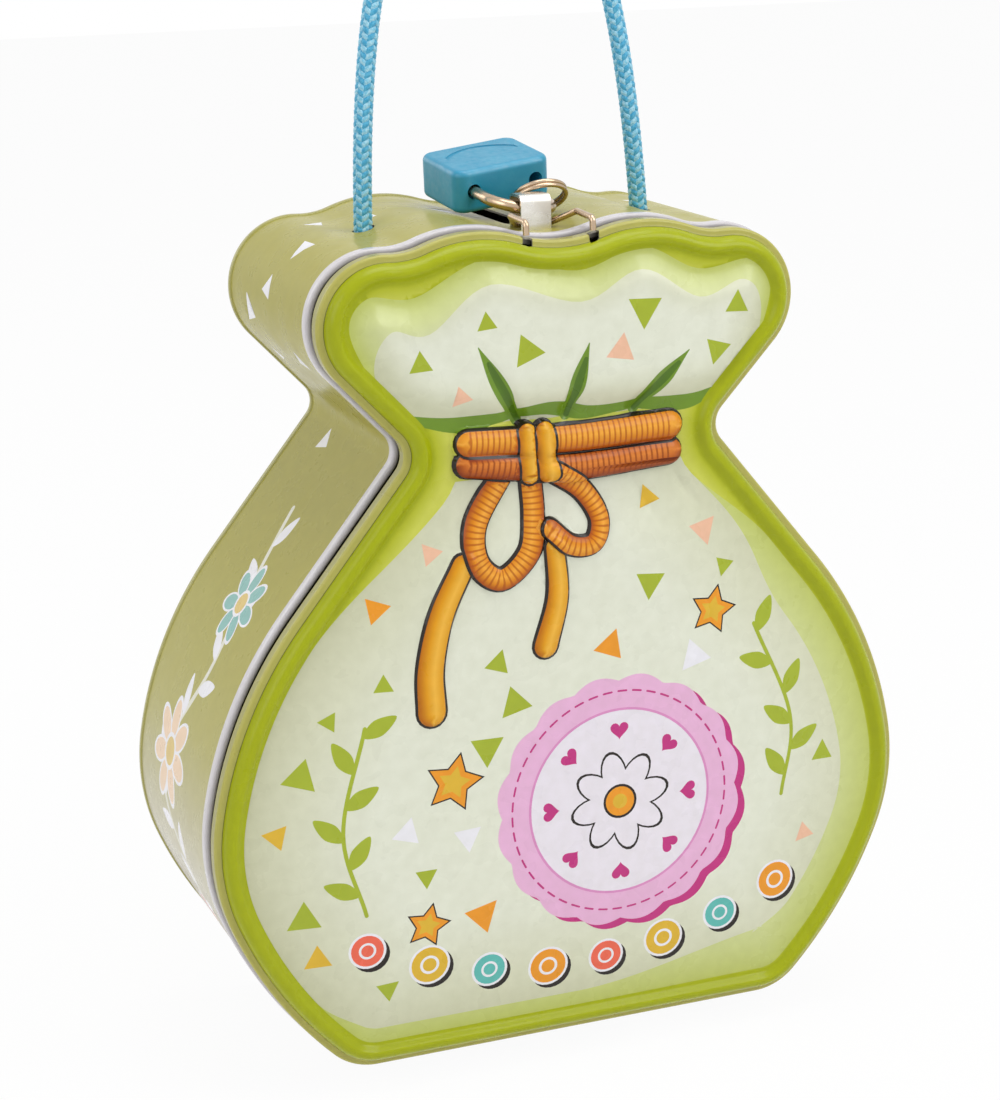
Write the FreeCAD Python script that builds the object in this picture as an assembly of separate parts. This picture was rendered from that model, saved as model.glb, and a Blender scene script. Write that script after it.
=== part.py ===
import FreeCAD, Part
import math
import os

from FreeCAD import Placement, Rotation, Vector

# Tin money box shaped like a tied bag. Sizes in mm, +X right, +Y to the rear, +Z up.
# The parts are drawn with the front rim of the band at y = 0 and moved to the
# middle of the whole depth when they are written out.

# Bag outline, right half, as circles that touch one another
BELLY_HALF_WIDTH = 71.0
BELLY_Z = 47.4
BELLY_RADIUS = 41.2
FLANK_RADIUS = 80.0
FLANK_ANGLE = 10.0
LOWER_RADIUS = 85.0
LOWER_ANGLE = -21.6
CORNER_RADIUS = 12.3
CORNER_ANGLE = -44.8
NECK_HALF_WIDTH = 31.7
NECK_RISE = 72.3
NECK_RADIUS = 4.5
SHOULDER_HALF_WIDTH = 47.5
SHOULDER_RISE = 24.0
SHOULDER_RADIUS = 13.4
DIP_RADIUS = 15.4
DIP_ANGLE = 94.0
CREST_RADIUS = 28.0
CREST_ANGLE = 249.0
VALLEY_RADIUS = 26.4

# Tin sheet, band and back
SHEET = 0.4
BODY_DEPTH = 52.0
HEM_THICKNESS = 1.1
HEM_DEPTH = 3.5
REAR_LIP = 2.2
BACK_PANEL_INSET = 8.0
BACK_PANEL_RECESS = 0.8
BACK_FLANGE = BACK_PANEL_RECESS + SHEET

# Lid
LID_GAP = 0.4
LID_INSET = HEM_THICKNESS + LID_GAP
LID_PROUD = 7.5
LID_PLUG = 5.0
COLLAR_INSET = 0.2
COLLAR_GAP = 2.3
LEDGE_PROUD = 5.0
LEDGE_WIDTH = 1.4
BEAD_ROUND = 2.2
FACE_INSET = 6.0
FACE_RECESS = 1.2
DOME_PROUD = 1.5
DOME_HALF_WIDTH = 56.0
DOME_HALF_HEIGHT = 42.0
DOME_LIFT = 3.0
ROPE_RADIUS = 2.9
ROPE_SINK = 1.2
ROPE_Z = 118.3
ROPE_HALF_LENGTH = 20.0
FRILL_ABOVE_ROPE = 6.4
FRILL_MARGIN = 1.6
FRILL_PROUD = 1.3
FRILL_ROUND = 0.9
PLEAT_RADIUS = 0.9
PLEAT_SINK = 0.7
PLEAT_RISE = 14.0
PLEAT_FEET = (-9.8, 0.0, 13.7)
PLEAT_LEANS = (-8.0, 4.0, 10.5)
BOW_RADIUS = 2.0
BOW_SINK = 0.8

# Hinge along the flat bottom
HINGE_Y = -2.0
HINGE_PIN_RADIUS = 0.8
KNUCKLE_RADIUS = 1.6
KNUCKLE_LENGTH = 10.0
KNUCKLE_GAP = 0.4
HINGE_RUNNING_GAP = 0.05
LID_KNUCKLE_START = 9.6
PIN_END = 0.5

# Staple and wire clasp on the top
STAPLE_WIDTH = 6.0
STAPLE_SHEET = 0.5
STAPLE_FRONT_Y = 7.0
STAPLE_DEPTH = 6.0
STAPLE_HEIGHT = 6.6
CLASP_WIRE = 1.2
CLASP_BAR_Y = 8.7
CLASP_BAR_LIFT = 1.1
CLASP_HALF_WIDTH = 6.6
CLASP_SHOULDER_Y = 3.3
CLASP_SHOULDER_LIFT = 3.6
CLASP_TIP_Y = -4.4
CLASP_HOLE = 2.4
CLASP_HOOK = 2.3

# Coin slot and cord
SLOT_WIDTH = 4.6
SLOT_LENGTH = 30.5
SLOT_START_Y = 16.5
CORD_DIAMETER = 3.4
CORD_HOLE = 4.4
CORD_HOLE_X = 28.6
CORD_Y = 23.5
CORD_LOOP_Z = 211.0
CORD_TOP_Z = 233.0
KNOT_RADIUS = 3.9

# Padlock: case drawn with its shackle face at y = 0
CASE_WIDTH = 20.5
CASE_HEIGHT = 16.0
CASE_THICKNESS = 8.4
CASE_SIDE_ROUND = 2.6
CASE_EDGE_ROUND = 1.2
CASE_GROOVE = 0.5
GROOVE_RADIUS = 9.5
GROOVE_CENTRE_Y = 3.2
GROOVE_HALF_WIDTH = 7.6
GROOVE_START_Y = 7.5
SHACKLE_WIRE = 2.2
SHACKLE_SPACING = 13.3
SHACKLE_BORE = 2.9
SHACKLE_REACH = 4.4
SHACKLE_GAP = 0.8
SHACKLE_INSIDE = 10.5
PLUG_RADIUS = 3.0
PLUG_LENGTH = 8.0
PLUG_RUNNING_GAP = 0.06
BOLT_RADIUS = 1.1
SPRING_WIRE = 0.4
SPRING_LENGTH = 3.1
RETAINER_RADIUS = 0.4
RETAINER_HALF_LENGTH = 1.3
RETAINER_Y = 7.0
CASE_YAW = 8.0
CASE_PITCH = 9.0
CASE_ROLL = 6.0
SHACKLE_SWIVEL = 14.0
LONG_LEG_X = -7.5
LONG_LEG_BEHIND_STAPLE = 12.4
LONG_LEG_LIFT = 6.26

# Split ring on the short leg
RING_RADIUS = 5.2
RING_WIRE = 0.9
RING_PRESS = 0.06
RING_X = 4.5
RING_BEHIND_STAPLE = 9.7
RING_LIFT = 4.8
RING_LEAN = 53.0

TOP_Y = -(LID_PROUD + DOME_PROUD)
RIM_Y = -(TOP_Y + BODY_DEPTH) / 2.0


def polar(angle_degrees, length):
    angle = math.radians(angle_degrees)
    return length * math.cos(angle), length * math.sin(angle)


def bag_circles():
    # Centre x, centre z and radius from the top valley clockwise to the bottom corner.
    # A hollow of the outline has a negative radius.
    belly = (BELLY_HALF_WIDTH - BELLY_RADIUS, BELLY_Z)
    dx, dz = polar(FLANK_ANGLE, FLANK_RADIUS - BELLY_RADIUS)
    flank = (belly[0] - dx, belly[1] - dz)
    dx, dz = polar(LOWER_ANGLE, LOWER_RADIUS - BELLY_RADIUS)
    lower = (belly[0] - dx, belly[1] - dz)
    dx, dz = polar(CORNER_ANGLE, LOWER_RADIUS - CORNER_RADIUS)
    corner = (lower[0] + dx, lower[1] + dz)
    neck = (NECK_HALF_WIDTH + NECK_RADIUS, BELLY_Z + NECK_RISE)
    shoulder = (SHOULDER_HALF_WIDTH - SHOULDER_RADIUS, neck[1] + SHOULDER_RISE)
    dx, dz = polar(DIP_ANGLE, SHOULDER_RADIUS + DIP_RADIUS)
    dip = (shoulder[0] + dx, shoulder[1] + dz)
    dx, dz = polar(CREST_ANGLE, DIP_RADIUS + CREST_RADIUS)
    crest = (dip[0] + dx, dip[1] + dz)
    reach = VALLEY_RADIUS + CREST_RADIUS
    valley = (0.0, crest[1] + math.sqrt(reach ** 2 - crest[0] ** 2))
    floor = corner[1] - CORNER_RADIUS
    circles = [
        (valley, -VALLEY_RADIUS),
        (crest, CREST_RADIUS),
        (dip, -DIP_RADIUS),
        (shoulder, SHOULDER_RADIUS),
        (neck, -NECK_RADIUS),
        (flank, FLANK_RADIUS),
        (belly, BELLY_RADIUS),
        (lower, LOWER_RADIUS),
        (corner, CORNER_RADIUS),
    ]
    return [(centre[0], centre[1] - floor, radius) for centre, radius in circles]


def bag_wire(offset, y):
    # Closed outline, moved outwards by offset, in the plane at y.
    right = [(x, z, radius + offset) for x, z, radius in bag_circles()]
    left = [(-x, z, radius) for x, z, radius in reversed(right[1:])]
    ring = right + left
    normals = []
    for number, (x, z, radius) in enumerate(ring):
        next_x, next_z, next_radius = ring[(number + 1) % len(ring)]
        span = math.hypot(next_x - x, next_z - z)
        share = max(-1.0, min(1.0, (radius - next_radius) / span))
        normals.append(math.atan2(next_z - z, next_x - x) + math.acos(share))

    def on_circle(circle, angle):
        x, z, radius = circle
        return Vector(x + radius * math.cos(angle), y, z + radius * math.sin(angle))

    edges = []
    first = on_circle(ring[0], normals[-1])
    point = first
    for number, circle in enumerate(ring):
        start = normals[number - 1]
        turn = (normals[number] - start + math.pi) % (2 * math.pi) - math.pi
        middle = on_circle(circle, start + turn / 2)
        end = on_circle(circle, normals[number])
        edges.append(Part.Arc(point, middle, end).toShape())
        last = number == len(ring) - 1
        next_point = first if last else on_circle(ring[number + 1], normals[number])
        if end.distanceToPoint(next_point) > 0.001:
            edges.append(Part.LineSegment(end, next_point).toShape())
            point = next_point
        else:
            point = end
    return Part.Wire(edges)


def bag_block(offset, y_start, y_end):
    face = Part.Face(bag_wire(offset, y_start))
    return face.extrude(Vector(0, y_end - y_start, 0))


def box(x_range, y_range, z_range):
    size = (x_range[1] - x_range[0], y_range[1] - y_range[0], z_range[1] - z_range[0])
    corner = Vector(x_range[0], y_range[0], z_range[0])
    return Part.makeBox(size[0], size[1], size[2], corner)


def rod(radius, start, end):
    return Part.makeCylinder(radius, (end - start).Length, start, end - start)


def edges_at_y(shape, y):
    found = []
    for edge in shape.Edges:
        bounds = edge.BoundBox
        if abs(bounds.YMin - y) < 0.001 and abs(bounds.YMax - y) < 0.001:
            found.append(edge)
    return found


def tube(points, radius, bend):
    # Bent wire: straight runs joined by tangent arcs of one bend radius.
    edges = []
    start = points[0]
    for before, corner, after in zip(points, points[1:], points[2:]):
        to_before = (before - corner).normalize()
        to_after = (after - corner).normalize()
        half = to_before.getAngle(to_after) / 2.0
        cut = bend / math.tan(half)
        first = corner + to_before * cut
        last = corner + to_after * cut
        middle_way = (to_before + to_after).normalize()
        middle = corner + middle_way * (bend / math.sin(half) - bend)
        edges.append(Part.LineSegment(start, first).toShape())
        edges.append(Part.Arc(first, middle, last).toShape())
        start = last
    edges.append(Part.LineSegment(start, points[-1]).toShape())
    return swept(Part.Wire(edges), radius)


def swept(path, radius):
    first = path.Edges[0]
    start = first.valueAt(first.FirstParameter)
    along = first.tangentAt(first.FirstParameter)
    profile = Part.Wire(Part.Circle(start, along, radius).toShape())
    return path.makePipeShell([profile], True, False)


def top_z(x, offset=0.0):
    # Height of the outline above a place near the middle valley.
    x_centre, z_centre, radius = bag_circles()[0]
    return z_centre - math.sqrt((radius + offset) ** 2 - (x - x_centre) ** 2)


def side_band():
    band = bag_block(0, 0, BODY_DEPTH).cut(bag_block(-SHEET, -1, BODY_DEPTH + 1))
    hem = bag_block(0, 0, HEM_DEPTH).cut(bag_block(-HEM_THICKNESS, -1, HEM_DEPTH + 1))
    hem = hem.makeFillet(HEM_THICKNESS * 0.4, edges_at_y(hem, 0))
    band = band.cut(bag_block(1, -1, HEM_DEPTH / 2)).fuse(hem)
    lip_start = BODY_DEPTH - SHEET
    lip = bag_block(0, lip_start, BODY_DEPTH).cut(bag_block(-REAR_LIP, lip_start - 1, BODY_DEPTH + 1))
    band = band.fuse(lip)
    for side in (-1, 1):
        hole_top = Vector(side * CORD_HOLE_X, CORD_Y, top_z(0) + 6)
        band = band.cut(rod(CORD_HOLE / 2, hole_top, hole_top - Vector(0, 0, 14)))
        start = LID_KNUCKLE_START + KNUCKLE_LENGTH + KNUCKLE_GAP
        strap = sorted((side * start, side * (start + KNUCKLE_LENGTH)))
        band = band.cut(box(strap, (-1, HEM_DEPTH + 0.1), (SHEET, 3)))
    for y in (STAPLE_FRONT_Y, STAPLE_FRONT_Y + STAPLE_DEPTH - STAPLE_SHEET):
        half = STAPLE_WIDTH / 2 + 0.05
        slit = box((-half, half), (y - 0.05, y + STAPLE_SHEET + 0.05), (top_z(0) - 3, top_z(0) + 3))
        band = band.cut(slit)
    return band.cut(coin_slot()).removeSplitter()


def coin_slot():
    half = SLOT_WIDTH / 2
    start = SLOT_START_Y + half
    end = SLOT_START_Y + SLOT_LENGTH - half
    low = top_z(0) - 4
    cutter = box((-half, half), (start, end), (low, low + 8))
    for y in (start, end):
        cutter = cutter.fuse(Part.makeCylinder(half, 8, Vector(0, y, low)))
    return cutter.removeSplitter()


def back_panel():
    rear = BODY_DEPTH - SHEET

    def tray(inward):
        block = bag_block(-SHEET - inward, rear - BACK_FLANGE - inward * 2, rear - inward)
        recess = bag_block(-BACK_PANEL_INSET + inward, rear - BACK_PANEL_RECESS - inward, rear + 2)
        return block.cut(recess)

    return tray(0).cut(tray(SHEET))


def lid_block(inward):
    # Outside of the lid, shrunk by the given amount on every side.
    front = -LID_PROUD + inward
    ledge = -LEDGE_PROUD + inward
    plug = bag_block(-LID_INSET - inward, ledge, LID_PLUG + inward)
    collar = bag_block(-COLLAR_INSET - inward, ledge, -COLLAR_GAP - inward)
    bead = bag_block(-COLLAR_INSET - LEDGE_WIDTH - inward, front, 0)
    bead = bead.makeFillet(BEAD_ROUND - inward, edges_at_y(bead, front))
    floor = -LID_PROUD + FACE_RECESS + inward
    block = plug.fuse([collar, bead]).cut(bag_block(-FACE_INSET + inward, front - 5, floor))
    block = block.fuse(belly_dome(floor, inward)).fuse(frill(floor, inward))
    return block.cut(pleats(inward))


def belly_dome(floor, inward):
    # Cap of a flattened ball that stands on the recessed face.
    rise = floor - (TOP_Y + inward)
    ball_radius = 60.0
    cap_height = 12.0
    base = -(ball_radius - cap_height)
    cap_radius = math.sqrt(ball_radius ** 2 - base ** 2)
    cap = Part.makeSphere(ball_radius).common(box((-70, 70), (-70, base), (-70, 70)))
    stretch = FreeCAD.Matrix()
    stretch.A11 = (DOME_HALF_WIDTH - inward) / cap_radius
    stretch.A22 = rise / cap_height
    stretch.A33 = (DOME_HALF_HEIGHT - inward) / cap_radius
    cap = cap.transformGeometry(stretch)
    cap.translate(Vector(0, floor - base * stretch.A22, BELLY_Z + DOME_LIFT))
    return cap


def frill(floor, inward):
    # Puffed top of the bag above the rope.
    front = floor - FRILL_PROUD
    low = ROPE_Z + FRILL_ABOVE_ROPE + inward
    wide = BELLY_HALF_WIDTH
    pad = bag_block(-FACE_INSET - FRILL_MARGIN - inward, front, floor + SHEET / 2)
    pad = pad.common(box((-wide, wide), (front, floor + SHEET), (low, low + wide)))
    return pad.makeFillet(FRILL_ROUND - inward, edges_at_y(pad, front))


def pleats(inward):
    # Grooves that run up the frill from the rope.
    y = -LID_PROUD + FACE_RECESS - FRILL_PROUD - PLEAT_RADIUS + PLEAT_SINK
    low = ROPE_Z + FRILL_ABOVE_ROPE - FRILL_ROUND
    radius = PLEAT_RADIUS + inward
    grooves = []
    for foot, lean in zip(PLEAT_FEET, PLEAT_LEANS):
        top = Vector(foot + lean, y, low + PLEAT_RISE)
        grooves.append(rod(radius, Vector(foot, y, low), top).fuse(Part.makeSphere(radius, top)))
    return grooves[0].fuse(grooves[1:])


def face_y(x, z):
    # Front of the belly, as a flattened ball, or of the recessed face beside it.
    floor = -LID_PROUD + FACE_RECESS
    across = x / DOME_HALF_WIDTH
    up = (z - BELLY_Z - DOME_LIFT) / DOME_HALF_HEIGHT
    reach = min(1.0, across ** 2 + up ** 2)
    share = (math.sqrt(25.0 - 9.0 * reach) - 4.0)
    return floor + (TOP_Y - floor) * share


def bow():
    # Two loops and two ends of the rope's bow, as half-round beads under the rope.
    knot_x = -6.0
    loops = (
        ((-7.0, -4.0), (-13.2, -14.0), (-10.0, -22.6), (-4.0, -19.4), (-1.6, -11.0), (-1.2, -4.0)),
        ((2.6, -4.0), (10.6, -10.4), (11.4, -16.4), (8.0, -18.4), (1.6, -14.0)),
    )
    ends = (
        ((-15.6, -19.0), (-20.6, -28.6), (-22.8, -46.0)),
        ((2.2, -18.4), (2.4, -27.6), (0.4, -36.6)),
    )
    strands = []
    for line in loops + ends:
        points = []
        for across, down in line:
            x = knot_x + across
            z = ROPE_Z + down
            points.append(Vector(x, face_y(x, z) + BOW_SINK, z))
        curve = Part.BSplineCurve()
        curve.interpolate(points)
        strands.append(swept(Part.Wire(curve.toShape()), BOW_RADIUS))
    return strands[0].fuse(strands[1:])


def rope_tie():
    # Two turns of rope round the neck, raised on the lid.
    half = ROPE_HALF_LENGTH
    centre_y = -LID_PROUD + FACE_RECESS - ROPE_RADIUS + ROPE_SINK + 0.7
    turns = []
    for step in (-1, 1):
        z = ROPE_Z + step * ROPE_RADIUS * 0.95
        turn = rod(ROPE_RADIUS, Vector(-half, centre_y, z), Vector(half, centre_y, z))
        for x in (-half, half):
            turn = turn.fuse(Part.makeSphere(ROPE_RADIUS, Vector(x, centre_y, z)))
        turns.append(turn)
    knot = Part.makeSphere(ROPE_RADIUS * 1.55, Vector(-6.0, centre_y + 0.8, ROPE_Z - 2.0))
    tie = turns[0].fuse(turns[1]).fuse(knot)
    front = TOP_Y
    behind = -LID_PROUD + FACE_RECESS + SHEET / 2
    return tie.common(box((-40, 40), (front, behind), (ROPE_Z - 20, ROPE_Z + 20)))


def front_lid():
    lid = lid_block(0).fuse([rope_tie(), bow()]).cut(lid_block(SHEET))
    lid = lid.cut(bag_block(5, LID_PLUG, LID_PLUG + 3))
    for side in (-1, 1):
        near = LID_KNUCKLE_START - PIN_END - KNUCKLE_GAP
        far = LID_KNUCKLE_START + 2 * KNUCKLE_LENGTH + KNUCKLE_GAP + 2.6
        notch = sorted((side * near, side * far))
        lid = lid.cut(box(notch, (HINGE_Y - 2.2, LID_PLUG + 1), (0, LID_INSET + SHEET + 0.3)))
        hole = Vector(side * CLASP_HALF_WIDTH, CLASP_TIP_Y, top_z(CLASP_HALF_WIDTH) + 1)
        lid = lid.cut(rod(CLASP_HOLE / 2, hole, hole - Vector(0, 0, 6)))
    return lid.removeSplitter()


def hinge_z():
    return SHEET + KNUCKLE_RADIUS


def knuckle(x_range, bore):
    start = Vector(x_range[0], HINGE_Y, hinge_z())
    end = Vector(x_range[1], HINGE_Y, hinge_z())
    return rod(KNUCKLE_RADIUS, start, end), rod(bore, start - Vector(1, 0, 0), end + Vector(1, 0, 0))


def body_hinge(side):
    start = LID_KNUCKLE_START + KNUCKLE_LENGTH + KNUCKLE_GAP
    x_range = sorted((side * start, side * (start + KNUCKLE_LENGTH)))
    barrel, bore = knuckle(x_range, HINGE_PIN_RADIUS)
    leaf = box(x_range, (HINGE_Y, 12), (SHEET, 2 * SHEET))
    return barrel.fuse(leaf).cut(bore).removeSplitter()


def lid_hinge(side):
    x_range = sorted((side * LID_KNUCKLE_START, side * (LID_KNUCKLE_START + KNUCKLE_LENGTH)))
    barrel, bore = knuckle(x_range, HINGE_PIN_RADIUS + HINGE_RUNNING_GAP)
    wall = COLLAR_INSET + LEDGE_WIDTH + SHEET
    leaf = box(x_range, (-LID_PROUD + BEAD_ROUND + 0.2, HINGE_Y), (wall, wall + SHEET))
    return barrel.fuse(leaf).cut(bore).removeSplitter()


def hinge_pin(side):
    inner = side * (LID_KNUCKLE_START - PIN_END)
    outer = side * (LID_KNUCKLE_START + 2 * KNUCKLE_LENGTH + KNUCKLE_GAP)
    pin = rod(HINGE_PIN_RADIUS, Vector(inner, HINGE_Y, hinge_z()), Vector(outer, HINGE_Y, hinge_z()))
    head = Part.makeSphere(HINGE_PIN_RADIUS * 1.4, Vector(outer + side * PIN_END, HINGE_Y, hinge_z()))
    return pin.fuse(head)


def hasp_staple():
    half = STAPLE_WIDTH / 2
    front = STAPLE_FRONT_Y
    rear = STAPLE_FRONT_Y + STAPLE_DEPTH
    foot = top_z(0) - SHEET - STAPLE_SHEET - 0.02
    top = top_z(0) + STAPLE_HEIGHT
    outer = box((-half, half), (front, rear), (foot, top))
    uppers = [edge for edge in outer.Edges if edge.BoundBox.ZMin > top - 0.01 and edge.BoundBox.XLength > 1]
    outer = outer.makeFillet(1.4, uppers)
    inner = box((-half - 1, half + 1), (front + STAPLE_SHEET, rear - STAPLE_SHEET), (foot - 1, top - STAPLE_SHEET))
    lowers = [edge for edge in inner.Edges if edge.BoundBox.ZMin > top - 1 and edge.BoundBox.XLength > 1]
    inner = inner.makeFillet(1.4 - STAPLE_SHEET, lowers)
    staple = outer.cut(inner)
    for y_start, y_end in ((front - 2.5, front + STAPLE_SHEET), (rear - STAPLE_SHEET, rear + 2.5)):
        staple = staple.fuse(box((-half, half), (y_start, y_end), (foot, foot + STAPLE_SHEET)))
    return staple.removeSplitter()


def latch_clasp():
    # Sprung wire through the staple, with two hooked legs that reach over the lid.
    bar_z = top_z(0) + CLASP_BAR_LIFT
    half = STAPLE_WIDTH / 2 + 0.6
    wide = CLASP_HALF_WIDTH
    shoulder_z = top_z(0) + CLASP_SHOULDER_LIFT
    tip_z = top_z(wide, -COLLAR_INSET) + 0.35
    right = [
        Vector(half, CLASP_BAR_Y, bar_z),
        Vector(wide, CLASP_SHOULDER_Y, shoulder_z),
        Vector(wide, CLASP_TIP_Y + 0.2, tip_z + CLASP_HOOK),
        Vector(wide, CLASP_TIP_Y, tip_z),
    ]
    left = [Vector(-point.x, point.y, point.z) for point in reversed(right)]
    return tube(left + right, CLASP_WIRE / 2, 0.75)


def case_turn():
    yaw = Rotation(Vector(0, 0, 1), CASE_YAW)
    pitch = Rotation(Vector(1, 0, 0), CASE_PITCH)
    roll = Rotation(Vector(0, 1, 0), -CASE_ROLL)
    return yaw.multiply(pitch).multiply(roll)


def case_place():
    turn = case_turn()
    leg = Vector(-SHACKLE_SPACING / 2, 0, 0)
    hole = Vector(LONG_LEG_X, STAPLE_FRONT_Y + LONG_LEG_BEHIND_STAPLE, top_z(0) + LONG_LEG_LIFT)
    return Placement(hole - turn.multVec(leg), turn)


def shackle_place():
    leg = Vector(-SHACKLE_SPACING / 2, 0, 0)
    swivel = Placement(Vector(0, 0, 0), Rotation(Vector(0, 1, 0), SHACKLE_SWIVEL), leg)
    return case_place().multiply(swivel)


def padlock_case():
    half = CASE_WIDTH / 2
    low = -CASE_THICKNESS / 2
    case = box((-half, half), (0, CASE_HEIGHT), (low, -low))
    uprights = [edge for edge in case.Edges if edge.BoundBox.ZLength > 1]
    case = case.makeFillet(CASE_SIDE_ROUND, uprights)
    rims = [edge for edge in case.Edges if edge.BoundBox.ZLength < 0.001]
    case = case.makeFillet(CASE_EDGE_ROUND, rims)
    groove = Part.makeTorus(GROOVE_RADIUS, CASE_GROOVE, Vector(0, GROOVE_CENTRE_Y, -low))
    wide = GROOVE_HALF_WIDTH
    groove = groove.common(box((-wide, wide), (GROOVE_START_Y, CASE_HEIGHT), (-low - 2, -low + 2)))
    case = case.cut(groove)
    leg = SHACKLE_SPACING / 2
    case = case.cut(rod(SHACKLE_BORE / 2, Vector(-leg, -1, 0), Vector(-leg, SHACKLE_INSIDE + 2, 0)))
    case = case.cut(rod(SHACKLE_BORE / 2, Vector(leg, -1, 0), Vector(leg, 6, 0)))
    plug_start = CASE_HEIGHT - PLUG_LENGTH
    plug_bore = PLUG_RADIUS + PLUG_RUNNING_GAP
    case = case.cut(rod(plug_bore, Vector(0, plug_start - 0.1, 0), Vector(0, CASE_HEIGHT + 1, 0)))
    case = case.cut(retainer_rod(0.02))
    return case.cut(rod(BOLT_RADIUS + 0.05, Vector(-3.4, 3.6, 0), Vector(leg, 3.6, 0)))


def padlock_shackle():
    leg = SHACKLE_SPACING / 2
    bend = -SHACKLE_REACH
    edges = [
        Part.LineSegment(Vector(-leg, SHACKLE_INSIDE, 0), Vector(-leg, bend, 0)).toShape(),
        Part.Arc(Vector(-leg, bend, 0), Vector(0, bend - leg, 0), Vector(leg, bend, 0)).toShape(),
        Part.LineSegment(Vector(leg, bend, 0), Vector(leg, -SHACKLE_GAP, 0)).toShape(),
    ]
    shackle = swept(Part.Wire(edges), SHACKLE_WIRE / 2)
    notch = Part.makeTorus(SHACKLE_WIRE / 2 + 0.3, 0.6, Vector(-leg, RETAINER_Y, 0), Vector(0, 1, 0))
    return shackle.cut(notch)


def padlock_plug():
    start = CASE_HEIGHT - PLUG_LENGTH
    plug = rod(PLUG_RADIUS, Vector(0, start, 0), Vector(0, CASE_HEIGHT, 0))
    keyway = box((-0.45, 0.45), (start + 1.5, CASE_HEIGHT + 1), (-2.0, 1.6))
    keyway = keyway.fuse(box((-0.9, 0.45), (start + 1.5, CASE_HEIGHT + 1), (-0.3, 0.4)))
    return plug.cut(keyway.removeSplitter())


def padlock_bolt():
    leg = SHACKLE_SPACING / 2
    bolt = rod(BOLT_RADIUS, Vector(0.2, 3.6, 0), Vector(leg - 0.6, 3.6, 0))
    bevel = box((-1, 1.2), (-3, 0), (-3, 3))
    bevel.rotate(Vector(0, 0, 0), Vector(0, 0, 1), 40)
    bevel.translate(Vector(leg - 1.0, 2.6, 0))
    return bolt.cut(bevel)


def padlock_spring():
    coil = Part.makeHelix(0.85, SPRING_LENGTH, BOLT_RADIUS - 0.3)
    first = coil.Edges[0]
    start = first.valueAt(first.FirstParameter)
    along = first.tangentAt(first.FirstParameter)
    profile = Part.Wire(Part.Circle(start, along, SPRING_WIRE / 2).toShape())
    spring = Part.Wire(coil.Edges).makePipeShell([profile], True, True)
    spring.rotate(Vector(0, 0, 0), Vector(0, 1, 0), 90)
    spring.translate(Vector(-3.18, 3.6, 0))
    return spring


def retainer_rod(room):
    # Pin across the side of the long leg's bore, with some room round it.
    x = -SHACKLE_SPACING / 2 + SHACKLE_WIRE / 2 + 0.2
    end = RETAINER_HALF_LENGTH + room
    return rod(RETAINER_RADIUS + room, Vector(x, RETAINER_Y, -end), Vector(x, RETAINER_Y, end))


def shackle_retainer():
    return retainer_rod(0)


def key_ring():
    # Two turns of wire pressed together, each with one cut end.
    ring = None
    for side in (-1, 1):
        height = side * (RING_WIRE - RING_PRESS) / 2
        turn = Part.makeTorus(RING_RADIUS, RING_WIRE / 2, Vector(0, 0, height))
        far = RING_RADIUS + RING_WIRE
        cut_range = sorted((height + side * 0.02, height + side))
        end_gap = box((RING_RADIUS - RING_WIRE, far), (-0.2, 0.2), cut_range)
        end_gap.rotate(Vector(0, 0, 0), Vector(0, 0, 1), 90 - side * 50)
        turn = turn.cut(end_gap)
        ring = turn if ring is None else ring.fuse(turn)
    centre = Vector(RING_X, STAPLE_FRONT_Y + RING_BEHIND_STAPLE, top_z(0) + RING_LIFT)
    ring.Placement = Placement(centre, Rotation(Vector(1, 0, 0), RING_LEAN - 90.0)).multiply(ring.Placement)
    return ring


def cord_points():
    knot_z = top_z(0) - 5.5
    return [
        Vector(-CORD_HOLE_X, CORD_Y, knot_z),
        Vector(-CORD_HOLE_X, CORD_Y, CORD_LOOP_Z),
        Vector(-1.6, CORD_Y, CORD_TOP_Z),
        Vector(CORD_HOLE_X - 3.6, CORD_Y, CORD_LOOP_Z),
        Vector(CORD_HOLE_X, CORD_Y, knot_z),
    ]


def cord_handle():
    points = cord_points()
    edges = []
    start = points[0]
    for before, corner, after in zip(points, points[1:], points[2:]):
        to_before = (before - corner).normalize()
        to_after = (after - corner).normalize()
        half = to_before.getAngle(to_after) / 2.0
        shorter = min((before - corner).Length, (after - corner).Length)
        cut = 0.45 * shorter
        bend = cut * math.tan(half)
        print("cord bend radius", round(bend, 1))
        first = corner + to_before * cut
        last = corner + to_after * cut
        middle = corner + (to_before + to_after).normalize() * (bend / math.sin(half) - bend)
        edges.append(Part.LineSegment(start, first).toShape())
        edges.append(Part.Arc(first, middle, last).toShape())
        start = last
    edges.append(Part.LineSegment(start, points[-1]).toShape())
    path = Part.Wire(edges)
    cord = swept(path, CORD_DIAMETER / 2)
    expected = path.Length * math.pi * CORD_DIAMETER ** 2 / 4
    print("cord length", round(path.Length, 1), "volume ratio", round(cord.Volume / expected, 4))
    return cord


def cord_knot(side):
    # Overhand knot under the hole: two crossing turns round a core.
    centre = cord_points()[0]
    centre = Vector(side * CORD_HOLE_X, centre.y, centre.z)
    turn = CORD_DIAMETER / 2
    knot = Part.makeSphere(KNOT_RADIUS * 0.8, centre)
    for tilt in (-24, 24):
        way = Vector(math.sin(math.radians(tilt)), 0, math.cos(math.radians(tilt)))
        knot = knot.fuse(Part.makeTorus(KNOT_RADIUS - turn + 0.4, turn, centre, way))
    core = rod(CORD_DIAMETER / 2, centre, centre + Vector(0, 0, 12))
    return knot.cut(core)


def in_place(shape, placement):
    shape.Placement = placement.multiply(shape.Placement)
    return shape


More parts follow.
